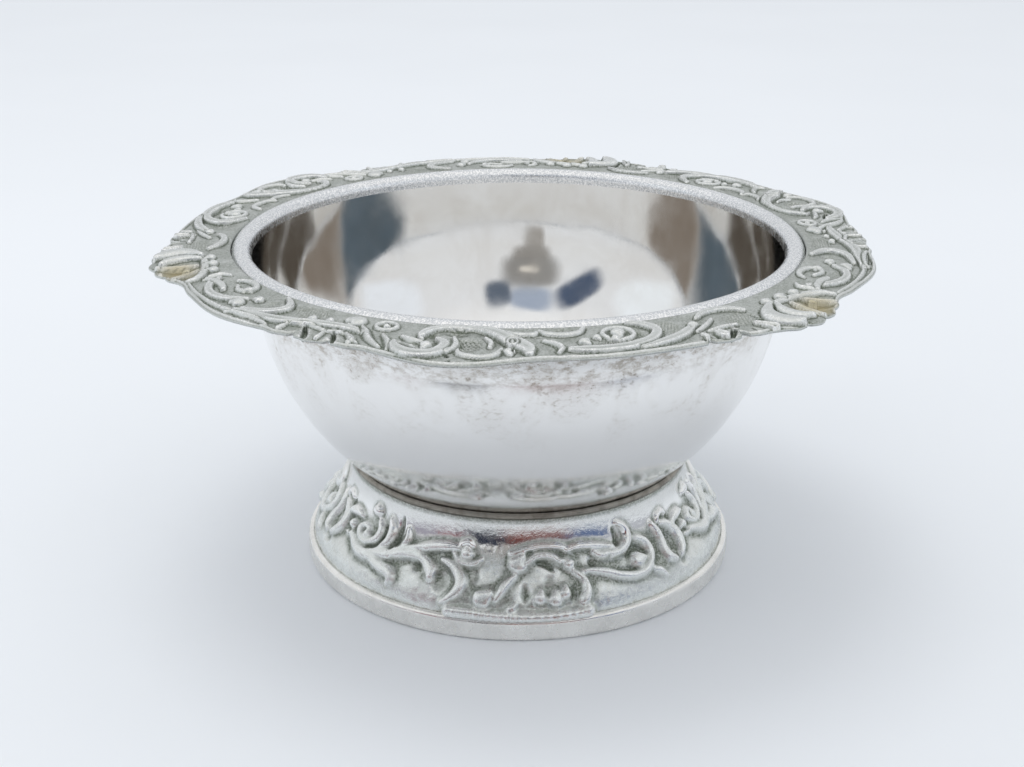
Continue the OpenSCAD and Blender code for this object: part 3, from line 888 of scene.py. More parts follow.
def carve_border(g):
    """All the ornament of one repeat of the border."""
    # hollows, stippled and netted grounds
    g.dish(143, 840, 500, 400, 0.5, warm=1.0)
    g.dish(270, 600, 260, 130, 0.26)
    g.net(425, 300, 360, 200, 0.36, 0.12)
    g.dish(645, 290, 200, 130, 0.3)
    g.dish(614, 420, 90, 120, 0.25)
    g.dish(663, 640, 200, 200, 0.22)
    g.net(663, 640, 220, 220, 0.42, 0.34)
    g.dish(840, 700, 240, 100, 0.24)
    g.net(840, 660, 280, 160, 0.3, 0.34)
    g.net(785, 220, 200, 140, 0.34, 0.12)
    g.dish(880, 470, 100, 200, 0.2)
    g.net(922, 380, 200, 240, 0.38, 0.14)
    g.net(30, 550, 300, 280, 0.4, 0.12)
    g.dish(355, 400, 120, 180, 0.2)
    # the slit's lip, the branch with its knobs, and the scroll beside it
    g.band((338, 740, 60), (365, 655, 90), (380, 550, 100), (386, 400, 100), (378, 270, 90),
           (358, 150, 60))
    g.band((318, 900, 60), (335, 865, 90), (365, 800, 120), (400, 750, 130), (428, 680, 130),
           (460, 575, 120), (500, 530, 100), (525, 570, 60))
    g.trail((330, 940, 40), (338, 895, 50), (352, 870, 55), (372, 855, 55), (390, 865, 50),
            (402, 900, 40))
    g.trail((430, 720, 40), (446, 645, 50), (465, 670, 50), (482, 710, 50), (500, 670, 50),
            (520, 730, 40))
    g.trail((480, 720, 30), (482, 840, 50), (482, 930, 50))
    g.trail((424, 760, 40), (424, 900, 70))
    g.trail((524, 760, 40), (524, 900, 70))
    for bud in (
        (315, 660, 150, 80), (328, 420, 160, 60), (285, 330, 100, 65), (440, 450, 160, 45),
        (465, 405, 160, 40), (497, 420, 0, 35),
    ):
        g.bud(*bud)
    # the disc, its stem and leaves, and the small ring
    g.ridge((515, 400, 60), (527, 520, 100), (536, 650, 110), (548, 780, 90), (563, 910, 50))
    g.ridge((508, 660, 50), (520, 780, 80), (533, 880, 50))
    g.ridge((552, 550, 50), (563, 670, 90), (571, 800, 100), (574, 950, 50))
    g.ring(545, 300, 130, 120, 50)
    g.bud(545, 300, 0, 35)
    g.bud(500, 300, 170, 100)
    # the arch scroll with its leaf and lobes
    g.band((574, 720, 60), (579, 850, 110), (587, 950, 140), (602, 1020, 150), (618, 1020, 150),
           (630, 940, 140), (636, 800, 130), (635, 660, 110), (624, 540, 70))
    g.ridge((577, 530, 50), (592, 610, 100), (607, 650, 60))
    g.bud(614, 740, 100, 65)
    # the great C, its netted panel and the teardrop on its arm
    g.band((603, 540, 50), (600, 460, 80), (602, 360, 90), (611, 250, 90), (626, 175, 85),
           (645, 150, 80), (665, 170, 90), (683, 220, 130), (699, 330, 160), (711, 460, 180),
           (724, 610, 190), (734, 750, 170), (736, 870, 100))
    g.trail((643, 460, 50), (648, 600, 65), (647, 740, 65), (642, 880, 50))
    g.trail((654, 800, 40), (656, 900, 65), (665, 970, 75), (680, 995, 75), (692, 965, 75),
            (700, 880, 75), (704, 770, 60))
    g.trail((682, 420, 40), (690, 550, 60), (690, 700, 50))
    g.ring(716.5, 580, 60, 100, 35, height=0.5)
    g.bud(713, 840, 80, 65)
    g.trail((708, 220, 40), (717, 285, 60), (730, 315, 65), (744, 300, 65), (750, 200, 50))
    g.ridge((755, 500, 50), (768, 600, 90), (775, 720, 100), (770, 840, 60))
    # the leaf arch, the big oval band with its ring and knobs, and the branch beside it
    g.trail((752, 200, 50), (760, 290, 70), (774, 335, 75), (790, 335, 75), (804, 280, 70),
            (813, 140, 50))
    g.band((785, 790, 80), (800, 830, 120), (820, 850, 130), (845, 840, 130), (865, 790, 130),
           (882, 710, 120), (895, 600, 120), (903, 470, 115), (903, 340, 110), (893, 210, 90),
           (877, 120, 60))
    g.ring(853, 400, 190, 180, 55)
    for bud in (
        (805, 580, 60, 65), (846, 530, 0, 50), (853, 390, 90, 75), (823, 470, 60, 45),
    ):
        g.bud(*bud)
    g.band((868, 870, 50), (885, 830, 85), (905, 770, 110), (925, 690, 115), (942, 590, 110),
           (952, 510, 80))
    g.bud(957, 460, 120, 60)
    g.trail((950, 640, 40), (970, 530, 60), (990, 400, 50))
    g.band((975, 280, 50), (990, 200, 75), (1010, 170, 85), (1035, 220, 85), (1052, 360, 60))
    g.flute((972, 660), (974, 880), 120)
    g.trail((951, 740, 40), (953, 810, 60), (950, 880, 50))
    g.trail((965, 690, 40), (985, 655, 55), (1008, 670, 50))
    g.flute((33, 760), (42, 980), 130)
    # the shell: bright side scrolls, flutes, a rolled lower edge and three buds
    g.ridge((203, 260, 40), (192, 360, 80), (194, 500, 90), (200, 620, 60))
    g.flute((128, 560), (121, 1040), 100, height=0.2)
    g.flute((153, 580), (172, 950), 100, height=0.2)
    g.trail((98, 470, 60), (115, 450, 85), (137, 470, 95), (157, 510, 100), (176, 590, 100),
            (190, 700, 90), (195, 830, 60))
    g.trail((104, 500, 70), (95, 620, 120), (93, 780, 140), (98, 930, 130), (107, 1020, 80),
            height=0.5)
    g.trail((90, 480, 80), (72, 600, 150), (64, 760, 200), (67, 920, 200), (75, 1040, 150),
            (83, 1110, 70), height=0.62)
    for bud in (
        (102, 360, 80, 65), (133, 370, 100, 70), (163, 410, 120, 65), (147, 1120, 90, 50),
        (120, 1100, 90, 45), (150, 740, 90, 45),
    ):
        g.bud(*bud)
    # the arm and arches after the shell
    g.ridge((205, 840, 50), (235, 880, 80), (270, 900, 80), (305, 900, 70), (330, 880, 50))
    g.band((206, 420, 60), (222, 600, 90), (245, 720, 100), (270, 750, 100), (295, 670, 90),
           (312, 500, 60))
    g.trail((200, 580, 60), (215, 520, 90), (235, 500, 90), (252, 540, 60))
    g.trail((235, 260, 50), (244, 180, 65), (262, 140, 75), (281, 200, 75), (286, 330, 70),
            (272, 410, 65), (255, 350, 50))
    # hollows that are cut last, through the strokes
    for depth, *points in (
        (0.42, (347, 945, 50), (371, 945, 80), (395, 945, 50)),
        (0.5, (447, 680, 50), (458, 820, 100), (465, 950, 110)),
        (0.5, (492, 700, 50), (499, 820, 90), (504, 950, 100)),
        (0.5, (648, 1090, 50), (648.5, 1130, 60)),
        (0.35, (642, 930, 30), (645, 1000, 70)),
        (0.5, (577, 680, 50), (586, 730, 90), (597, 790, 90), (605, 840, 50)),
        (0.35, (604, 490, 70), (608, 500, 70)),
        (0.3, (717, 780, 35), (717, 860, 35)),
        (0.45, (744, 390, 50), (751, 380, 60)),
        (0.4, (945, 840, 40), (945, 930, 50)),
        (0.4, (964, 780, 40), (964, 900, 50)),
        (0.6, (981, 930, 80), (989, 850, 120), (998, 750, 80)),
        (0.45, (20, 840, 50), (21, 930, 60)),
        (0.4, (51, 500, 50), (49, 720, 60), (51, 930, 60)),
        (0.35, (140, 600, 80), (142, 660, 80)),
        (0.35, (168, 720, 80), (171, 780, 80)),
    ):
        g.cut(depth, *points)


class SALT_CELLAR_OT_border(bpy.types.Operator):
    """Cast the border's three alike lengths of scrolls and shells"""

    bl_idname = "salt_cellar.border"
    bl_label = "Border"

    def execute(self, context):
        shape = BorderShape()
        u = np.linspace(0, 1, BORDER_COLUMNS + 1)
        edge = shape.edge(u)
        r = mix(shape.in_r, edge, np.linspace(0, 1, BORDER_ROWS)[:, None])
        azimuth = BORDER_START + BORDER_TURN * u + 0 * r
        g = Relief(azimuth, r - shape.pattern_in_r, lambda y: shape.pattern_in_r + y,
                   BORDER_START, BORDER_TURN, shape.pattern_w, rise=sizes().border_relief / MM,
                   full_w=0.17, broad=1.3, groove_d=0.09, wear=0.5)
        carve_border(g)
        # the raised rail that follows the outline, but not along the flutes
        inside = edge - r
        rail_on = 1 - np.clip(sum(cosine_lobe((u - place - k) / half) for k in (-1, 0, 1)
                                  for place, half in RAIL_BREAKS), 0, 1)
        rail = SECTIONS["round"](np.abs(inside - RAIL_IN) / RAIL_HALF_W) * RAIL_RISE
        groove = smooth(1 - np.abs(inside - RAIL_GROOVE_IN) / GROOVE_W)
        g.raised = np.maximum(g.raised, rail * rail_on)
        g.groove = np.maximum(g.groove, groove * rail_on)
        material = cast_silver("border_silver", crest_share=0.9, warm=True)
        for k, side in enumerate(("left", "right", "back")):
            self.length("border_length_" + side, shape, azimuth + BORDER_TURN * k, r, edge,
                        g.height(), g.warm, material)
        return {"FINISHED"}

    @staticmethod
    def length(name, shape, azimuth, r, edge, height, warm, material):
        """One length of the border, with its flat ends, thin edge and underside."""
        height = roughened(height, cast_ground(azimuth, r, BORDER_GROUND_R, BORDER_GROUND))
        inside = edge - r
        face = shape.face(r)
        # the face rolls down at its edge
        z = (face + height * smooth(inside / EDGE_FADE) * smooth((r - shape.in_r) / LIP_FADE)
             - EDGE_ROLL * smooth(1 - inside / EDGE_ROLL_W))
        low_z = face[-1] - BORDER_EDGE_T
        a = np.radians(azimuth[0])

        def row(radius, level):
            return np.stack([radius * np.cos(a), radius * np.sin(a), level + 0 * a], -1)

        rows = list(np.stack([r * np.cos(a), r * np.sin(a), z], -1))
        rows += [row(edge + out, mix(z[-1], low_z, down)) for out, down in EDGE_SECTION]
        under = edge + EDGE_SECTION[-1][0]
        rows += [row(mix(under, shape.seat_r, share), mix(low_z, shape.low_z, share))
                 for share in UNDER_SHARES]
        rows.append(row(shape.in_r + 0 * a, shape.low_z))
        grid = np.array(rows)
        count, columns = grid.shape[:2]
        faces = [tuple(f)[::-1] for f in ring_faces(count, columns, close_columns=False)]
        # the two ends are flat
        faces.append(tuple((np.arange(count)[::-1] * columns).tolist()))
        faces.append(tuple((np.arange(count) * columns + columns - 1).tolist()))
        obj = make_object(name, grid.reshape(-1, 3), faces)
        recess, crest = recess_and_crest(height, *BORDER_TONE)
        recess = np.maximum(recess, ground_tone(height, *BORDER_DARK))
        paint(obj, (count - BORDER_ROWS) * columns, BORDER_REST,
              recess=recess, crest=crest, warm=warm)
        obj.data.materials.append(material)
        take_place(obj, "rim_border")


# ---- Neck ring ----

WIRE_SIDES, WIRE_STEPS = 240, 28


class SALT_CELLAR_OT_neck_ring(bpy.types.Operator):
    """Lay the wire that covers the joint of bowl and foot"""

    bl_idname = "salt_cellar.neck_ring"
    bl_label = "Neck ring"

    def execute(self, context):
        section = arc((WIRE_RING_R, WIRE_Z), WIRE_R + GAP, 0, 360, WIRE_STEPS)[:-1]
        obj = make_object("neck_wire", turned(section, WIRE_SIDES),
                          ring_faces(len(section), WIRE_SIDES))
        obj.data.materials.append(wire_silver())
        take_place(obj, "neck_ring")
        return {"FINISHED"}


# ---- Foot ----

FOOT_BASE_Z = 2.05
NECK_Z = 11.8
COVE_R = 9.0
COVE_FROM, COVE_TO = 182.0, 228.0
SHOULDER_TURN = 32.0
FOOT_START = -144.0
FOOT_TURN = 120.0
# The relief starts above the rebate
FOOT_LOW = 0.5
FOOT_ROWS = 70
FOOT_INNER_ROWS = 8
FOOT_COLUMNS = 1260
# Layers of the cast ground: cell, seed and depth
FOOT_GROUND_R = 23
FOOT_GROUND = ((0.4, 21, 0.03), (1.5, 22, 0.04))
# Steps that even out the relief, and its fall to nothing at the rebate in millimetres
FOOT_SOFTEN = (1, 2)
FOOT_FADE = 0.4
# The same for the foot, whose ground darkens beside strokes within a reach and from a height
FOOT_TONE = (0.26, 0.9, 0.3)
FOOT_DARK = (0.85, 0.13, 0.16)
BESIDE_REACH, BESIDE_H = (7, 13), 0.14
FOOT_REST = 0.3
# Where the rough ground ends, and where the full patina and the polish begin: the place up the
# pattern and the width of the change, as shares of the pattern
ROUGH_END, DARK_FROM, POLISH_FROM = (0.8, 0.2), (0.06, 0.2), (0.55, 0.25)
# Share of the patina that the lowest ground keeps, and the recess that has no polish
DARK_LEAST, POLISH_RECESS = 0.3, 0.5
# Painted shade in the hollow curve under the bowl, darkest just under the wire, and what it takes
# off the polish: strength, place and width
COVE_PAINTED_SHADE = ((0.3, 0.78, 0.12), (0.5, 0.94, 0.05))
COVE_LOSS = ((0.38, 0.72, 0.1), (0.4, 0.93, 0.05))


class FootShape:
    """The foot's outer profile: a hollow curve from its top edge, then the low end of an oval."""

    def __init__(self):
        neck_r = sizes().neck_r / MM
        self.foot_r = sizes().foot_r / MM
        start, end, turn = (math.radians(a) for a in (COVE_FROM, COVE_TO, SHOULDER_TURN))
        self.middle = (neck_r - COVE_R * math.cos(start), NECK_Z - COVE_R * math.sin(start))
        top = (self.middle[0] + COVE_R * math.cos(end), self.middle[1] + COVE_R * math.sin(end))
        self.across = (self.foot_r - top[0]) / (1 - math.cos(turn))
        self.up = (top[1] - FOOT_BASE_Z) / math.sin(turn)
        cove = COVE_R * (end - start)
        self.length = cove + math.dist(top, (self.foot_r, FOOT_BASE_Z))
        self.cove_share = cove / self.length

    def at(self, t):
        """Radius, height and outward normal at the share t of the way down."""
        t = np.asarray(t, float)
        cove = np.radians(mix(COVE_FROM, COVE_TO, np.clip(t / self.cove_share, 0, 1)))
        a = np.radians(SHOULDER_TURN * np.clip((1 - t) / (1 - self.cove_share), 0, 1))
        in_cove = t < self.cove_share
        r = np.where(in_cove, self.middle[0] + COVE_R * np.cos(cove),
                     self.foot_r - self.across * (1 - np.cos(a)))
        z = np.where(in_cove, self.middle[1] + COVE_R * np.sin(cove),
                     FOOT_BASE_Z + self.up * np.sin(a))
        nr = np.where(in_cove, -np.cos(cove), np.cos(a) / self.across)
        nz = np.where(in_cove, -np.sin(cove), np.sin(a) / self.up)
        length = np.hypot(nr, nz)
        return r, z, nr / length, nz / length

    def radius_at(self, y):
        return self.at(1 - (y + FOOT_LOW) / self.length)[0]


def carve_foot(g):
    """All the ornament of one repeat of the foot."""
    # the ground
    g.dish(270, 300, 120, 150, 0.34)
    g.dish(465, 240, 70, 130, 0.5)
    g.dish(350, 400, 70, 120, 0.25)
    g.dish(520, 370, 90, 90, 0.2)
    g.dish(630, 500, 60, 60, 0.35)
    g.dish(200, 380, 80, 70, 0.3)
    g.dish(100, 190, 70, 60, 0.22)
    g.dish(885, 190, 80, 50, 0.25)
    # the left volute and the stems
    for points in (
        ((150, 740, 40), (154, 640, 65), (146, 550, 65), (130, 480, 50)),
        ((50, 700, 50), (62, 600, 75), (55, 490, 85), (30, 430, 85), (2, 440, 85), (-14, 520, 75),
         (0, 580, 60), (20, 560, 45)),
        ((88, 770, 50), (99, 660, 80), (96, 540, 85), (79, 440, 85), (50, 365, 60)),
        ((-55, 400, 50), (-30, 400, 70), (0, 340, 85), (30, 310, 95), (60, 325, 105),
         (100, 390, 115), (145, 475, 110), (185, 555, 100), (225, 625, 100), (270, 665, 95),
         (305, 665, 60)),
        ((130, 420, 70), (165, 475, 85), (200, 495, 90), (222, 460, 100), (238, 390, 115),
         (243, 320, 80)),
        ((60, 300, 50), (100, 270, 85), (132, 250, 100), (147, 200, 85), (142, 130, 50)),
        # the hook at the stem's end and the C beside it
        ((290, 600, 45), (310, 535, 75), (340, 520, 70), (358, 570, 40)),
        ((305, 710, 45), (323, 740, 50), (336, 700, 30)),
        ((262, 520, 50), (285, 490, 80), (305, 420, 100), (318, 320, 105), (312, 220, 90),
         (295, 140, 70), (280, 95, 45)),
        # the rosette
        ((400, 170, 45), (410, 250, 70), (422, 330, 75), (440, 410, 55)),
        ((430, 640, 35), (465, 690, 50), (505, 720, 50), (545, 710, 55), (578, 660, 45)),
        ((475, 550, 60), (490, 610, 80), (510, 625, 80), (535, 600, 80), (552, 540, 60)),
        ((585, 50, 50), (595, 140, 90), (605, 240, 75), (603, 330, 60), (590, 400, 60),
         (575, 460, 45)),
        # the right-hand stem and hook
        ((570, 655, 45), (600, 685, 65), (640, 665, 70), (675, 630, 60), (700, 600, 45)),
        ((605, 420, 40), (630, 410, 60), (660, 370, 75), (690, 310, 70), (725, 265, 65),
         (765, 280, 70), (790, 370, 80), (797, 470, 85), (788, 570, 80), (765, 630, 60)),
        ((640, 600, 45), (655, 560, 80), (685, 540, 90), (715, 550, 90), (738, 610, 85),
         (744, 700, 80), (735, 790, 60), (718, 840, 40)),
        ((785, 250, 45), (800, 220, 60), (812, 140, 40)),
        # the leaf, the C band and its bright leaf
        ((855, 690, 40), (862, 750, 55), (880, 770, 55), (893, 730, 45)),
        ((832, 700, 50), (842, 600, 80), (845, 500, 80), (840, 400, 90), (845, 300, 85),
         (860, 250, 55)),
        ((868, 655, 50), (888, 610, 85), (904, 540, 100), (909, 440, 100), (902, 340, 90),
         (885, 265, 50)),
        ((905, 585, 50), (925, 630, 90), (948, 650, 90), (968, 640, 50)),
    ):
        g.trail(*points)
    for bud in (
        (20, 500, 0, 45), (322, 620, 90, 55), (450, 545, 60, 80), (572, 520, 120, 55),
        (435, 90, 60, 50), (497, 200, 80, 60), (530, 175, 80, 65), (553, 235, 80, 55),
        (755, 400, 0, 75), (372, 180, 40, 85), (948, 500, 200, 50), (30, 790, 200, 60),
    ):
        g.bud(*bud)
    g.beads([(474, 560), (490, 610), (512, 625), (536, 600), (551, 550)], 8, 34, 0.75)
    # the ribbed bar below the rosette
    bar = [(300, 20), (335, 25), (380, 15), (430, 5), (500, 0), (570, 10), (600, 30)]
    g.trail(*((*place, 110) for place in bar), height=0.9)
    g.ribs(bar, 24, 42, 30, 1.08)
    # hollows that are cut last, through the strokes
    for depth, *points in (
        (0.4, (75, 660, 50), (80, 560, 55), (67, 440, 55), (42, 380, 40)),
        (0.35, (124, 820, 50), (125, 700, 70), (120, 560, 60), (112, 470, 40)),
        (0.5, (500, 550, 60), (515, 530, 80), (530, 480, 60)),
        (0.4, (706, 620, 50), (712, 700, 70), (705, 790, 40)),
        (0.3, (690, 360, 30), (720, 340, 35), (738, 310, 30)),
        (0.4, (728, 460, 30), (740, 520, 45), (765, 520, 40), (777, 440, 30)),
        (0.4, (675, 510, 30), (680, 510, 30)),
        (0.4, (570, 140, 30), (572, 200, 45), (575, 280, 30)),
        (0.4, (870, 530, 40), (876, 450, 60), (872, 370, 40)),
        (0.35, (900, 670, 30), (905, 700, 45)),
        (0.35, (940, 450, 40), (952, 420, 60)),
    ):
        g.cut(depth, *points)


class SALT_CELLAR_OT_foot(bpy.types.Operator):
    """Cast the foot with its scrolls and rosettes"""

    bl_idname = "salt_cellar.foot"
    bl_label = "Foot"

    def execute(self, context):
        shape = FootShape()
        wall = sizes().foot_wall / MM
        repeats = round(360 / FOOT_TURN)
        per = FOOT_COLUMNS // repeats
        t = np.linspace(0, 1, FOOT_ROWS)[:, None]
        y = (1 - t) * shape.length - FOOT_LOW + np.zeros(per)
        azimuth = FOOT_START + FOOT_TURN * np.arange(per) / per + 0 * y
        g = Relief(azimuth, y, shape.radius_at, FOOT_START, FOOT_TURN, shape.length - FOOT_LOW,
                   rise=sizes().foot_relief / MM, full_w=0.12, broad=1.38, groove_d=0.06,
                   wear=0.32)
        carve_foot(g)
        height = np.tile(blur(g.height(), *FOOT_SOFTEN), (1, repeats))
        whole = FOOT_START + 360 * np.arange(FOOT_COLUMNS) / FOOT_COLUMNS + 0 * height
        y = np.tile(y, (1, repeats))
        v = y / g.scale_w
        # the cast ground is rough up to the neck, and the relief dies away at the rebate
        rough = smooth((ROUGH_END[0] - v) / ROUGH_END[1])
        height = roughened(height, cast_ground(whole, y, FOOT_GROUND_R, FOOT_GROUND) * rough)
        height = height * smooth((y + FOOT_LOW) / FOOT_FADE)
        r, z, nr, nz = shape.at(t)
        a = np.radians(whole)
        radius = r + nr * height
        outer = np.stack([radius * np.cos(a), radius * np.sin(a), z + nz * height], -1)
        r, z, nr, nz = shape.at(np.linspace(1, 0, FOOT_INNER_ROWS)[:, None])
        a, radius = a[:FOOT_INNER_ROWS], r - wall * nr
        level = np.clip(z - wall * nz, FOOT_BASE_Z, NECK_Z) + 0 * a
        inner = np.stack([radius * np.cos(a), radius * np.sin(a), level], -1)
        grid = np.concatenate([outer, inner])
        faces = [tuple(f)[::-1] for f in ring_faces(len(grid), FOOT_COLUMNS)]
        obj = make_object("foot_silver", grid.reshape(-1, 3), faces)
        recess, crest = recess_and_crest(height, *FOOT_TONE)
        # the patina of the ground gathers beside the strokes and fades at the rebate
        beside = smooth(blur(height, *BESIDE_REACH) / BESIDE_H)
        recess = np.maximum(recess, ground_tone(height, *FOOT_DARK) * beside * rough)
        recess = recess * (DARK_LEAST + (1 - DARK_LEAST) * rising(v, *DARK_FROM))
        # the hollow curve is polished, with painted shade in it under the bowl that is darkest
        # under the wire
        polish = rising(v, *POLISH_FROM) * (1 - smooth(recess / POLISH_RECESS))
        dull, loss = (sum(share * rising(v, *edge) for share, *edge in table)
                      for table in (COVE_PAINTED_SHADE, COVE_LOSS))
        # the painted shade darkens the curve through the patina's colour
        recess = np.maximum(recess, dull)
        paint(obj, FOOT_INNER_ROWS * FOOT_COLUMNS, FOOT_REST,
              recess=recess, crest=crest, polish=polish * (1 - loss))
        material = cast_silver("foot_cast_silver", crest_share=0.8, lift=1.2, polished=True)
        obj.data.materials.append(material)
        take_place(obj, "foot")
        return {"FINISHED"}


# ---- Base band ----

BAND_TURN = 0.6
BAND_TOP_SHARE = 0.8
BAND_SHELF = 0.5
BAND_SIDES, BAND_STEPS = 360, 10


class SALT_CELLAR_OT_foot_band(bpy.types.Operator):
    """Turn the plain band that the foot stands on"""

    bl_idname = "salt_cellar.foot_band"
    bl_label = "Base band"

    def execute(self, context):
        size = sizes()
        foot_r = size.foot_r / MM
        ledge_z = FOOT_BASE_Z - GAP
        rebate_r = foot_r + GAP / 2
        in_r = foot_r - size.foot_wall / MM - BAND_SHELF
        top = (BAND_R - rebate_r) * BAND_TOP_SHARE
        section = chain(
            [(in_r, 0.0)],
            arc((BAND_R - BAND_TURN, BAND_TURN), BAND_TURN, -90, 0, BAND_STEPS),
            arc((BAND_R - top, BAND_H - top), top, 0, 90, BAND_STEPS),
            [(rebate_r, BAND_H), (rebate_r, ledge_z), (in_r, ledge_z)],
        )
        obj = make_object("base_band", turned(section, BAND_SIDES),
                          ring_faces(len(section), BAND_SIDES))
        obj.data.materials.append(satin_silver())
        take_place(obj, "foot_band")
        return {"FINISHED"}


# ---- Stage ----

CAMERA_PLACE = (-0.69, -170.05, 86.02)
CAMERA_PITCH = 21.26
SENSOR_W = 36
CLIP_START, CLIP_END = 0.001, 100
FLOOR_SIZE = 6000.0
# The floor's faint mottling: its grain in millimetres and its darkest share of the colour
MOTTLE_GRAIN, MOTTLE_SHARE = 90, 0.985
# Name, place, width and depth in millimetres, and share of the power
LAMPS = (
    ("lamp_over", (-60, 60, 520), (230, 230), 0.36),
    ("lamp_left", (-420, -120, 300), (160, 200), 0.14),
)
LAMP_AIM = (0, 0, 30)
# Colours of the room's light from the level upwards
WORLD_STOPS = (
    (0.0, (0.79, 0.82, 0.87)), (0.25, (0.76, 0.77, 0.78)), (0.6, (0.82, 0.84, 0.87)),
    (0.9, (1.0, 1.0, 1.0)),
)

# Glowing cards, out of view, that paint reflections of a room into the metal: direction from the
# front and from the level, width, height and lean, all in degrees, distance and the height that it
# is measured from, in millimetres, the reflections that show the card, from the first to the last,
# and colour
CARDS = (
    ("card_left", -37, 16.4, 80, 20, 0, 420, 37, (2, 2), (0.105, 0.14, 0.175)),
    ("card_right", 28, 16.2, 62, 13, 0, 425, 37, (2, 2), (0.27, 0.235, 0.205)),
    ("card_ends", -6, 16.2, 110, 14, 0, 420, 37, (3, 9), (0.115, 0.10, 0.085)),
    ("card_middle", -7, 27, 32, 17, 0, 450, 37, (1, 1), (0.29, 0.285, 0.275)),
    ("card_middle_high", -7, 21, 21, 13, 0, 453, 37, (1, 1), (0.31, 0.30, 0.285)),
    ("card_middle_low", -8, 15, 11, 22, 0, 456, 37, (1, 1), (0.36, 0.345, 0.325)),
    ("card_over", 12, 37, 14, 14, 0, 430, 37, (1, 1), (0.12, 0.15, 0.20)),
    ("card_haze", -8, 40, 24, 12, 0, 440, 37, (1, 1), (0.38, 0.44, 0.55)),
    ("card_arm", -36, 32, 13, 27, -48, 430, 37, (1, 1), (0.085, 0.115, 0.18)),
    ("card_spot", -6, 25.5, 11, 3.4, 0, 420, 37, (1, 1), (0.72, 0.68, 0.62)),
    ("card_glow_left", -76, 26, 36, 18, 20, 430, 37, (1, 1), (0.90, 0.95, 1.0)),
    ("card_glow_right", 76, 26, 36, 18, -20, 430, 37, (1, 1), (0.88, 0.93, 1.0)),
    ("card_low_back", 4, 0, 76, 13, 0, 70, 13.5, (1, 9), (0.16, 0.125, 0.13)),
    ("card_low_lavender", -50, 0, 56, 13, 0, 72, 13.5, (1, 9), (0.34, 0.33, 0.39)),
    ("card_low_pale", 66, 0, 54, 13, 0, 72, 13.5, (1, 9), (0.47, 0.49, 0.54)),
    ("card_low_navy", -19, 0, 27, 14, 0, 62, 12.5, (1, 9), (0.02, 0.025, 0.045)),
    ("card_low_dark_red", 13, 0, 42, 9, 0, 63.5, 16.5, (1, 9), (0.09, 0.03, 0.03)),
    ("card_low_red", 9, 0, 40, 8, 0, 62.5, 9.5, (1, 9), (0.22, 0.07, 0.055)),
    ("card_low_blue", 38, 0, 26, 12, 0, 64, 12, (1, 9), (0.08, 0.13, 0.27)),
    ("card_low_left", -36, 0, 16, 9, 0, 61.5, 15, (1, 9), (0.26, 0.07, 0.07)),
)
CARD_SIDES = 32
CARD_ROUND = 0.6
# Rings of a card from its full to its faded part: share of its size, and strength
CARD_RINGS = ((0.6, 1.0), (0.75, 0.85), (0.9, 0.4), (1.05, 0.0))


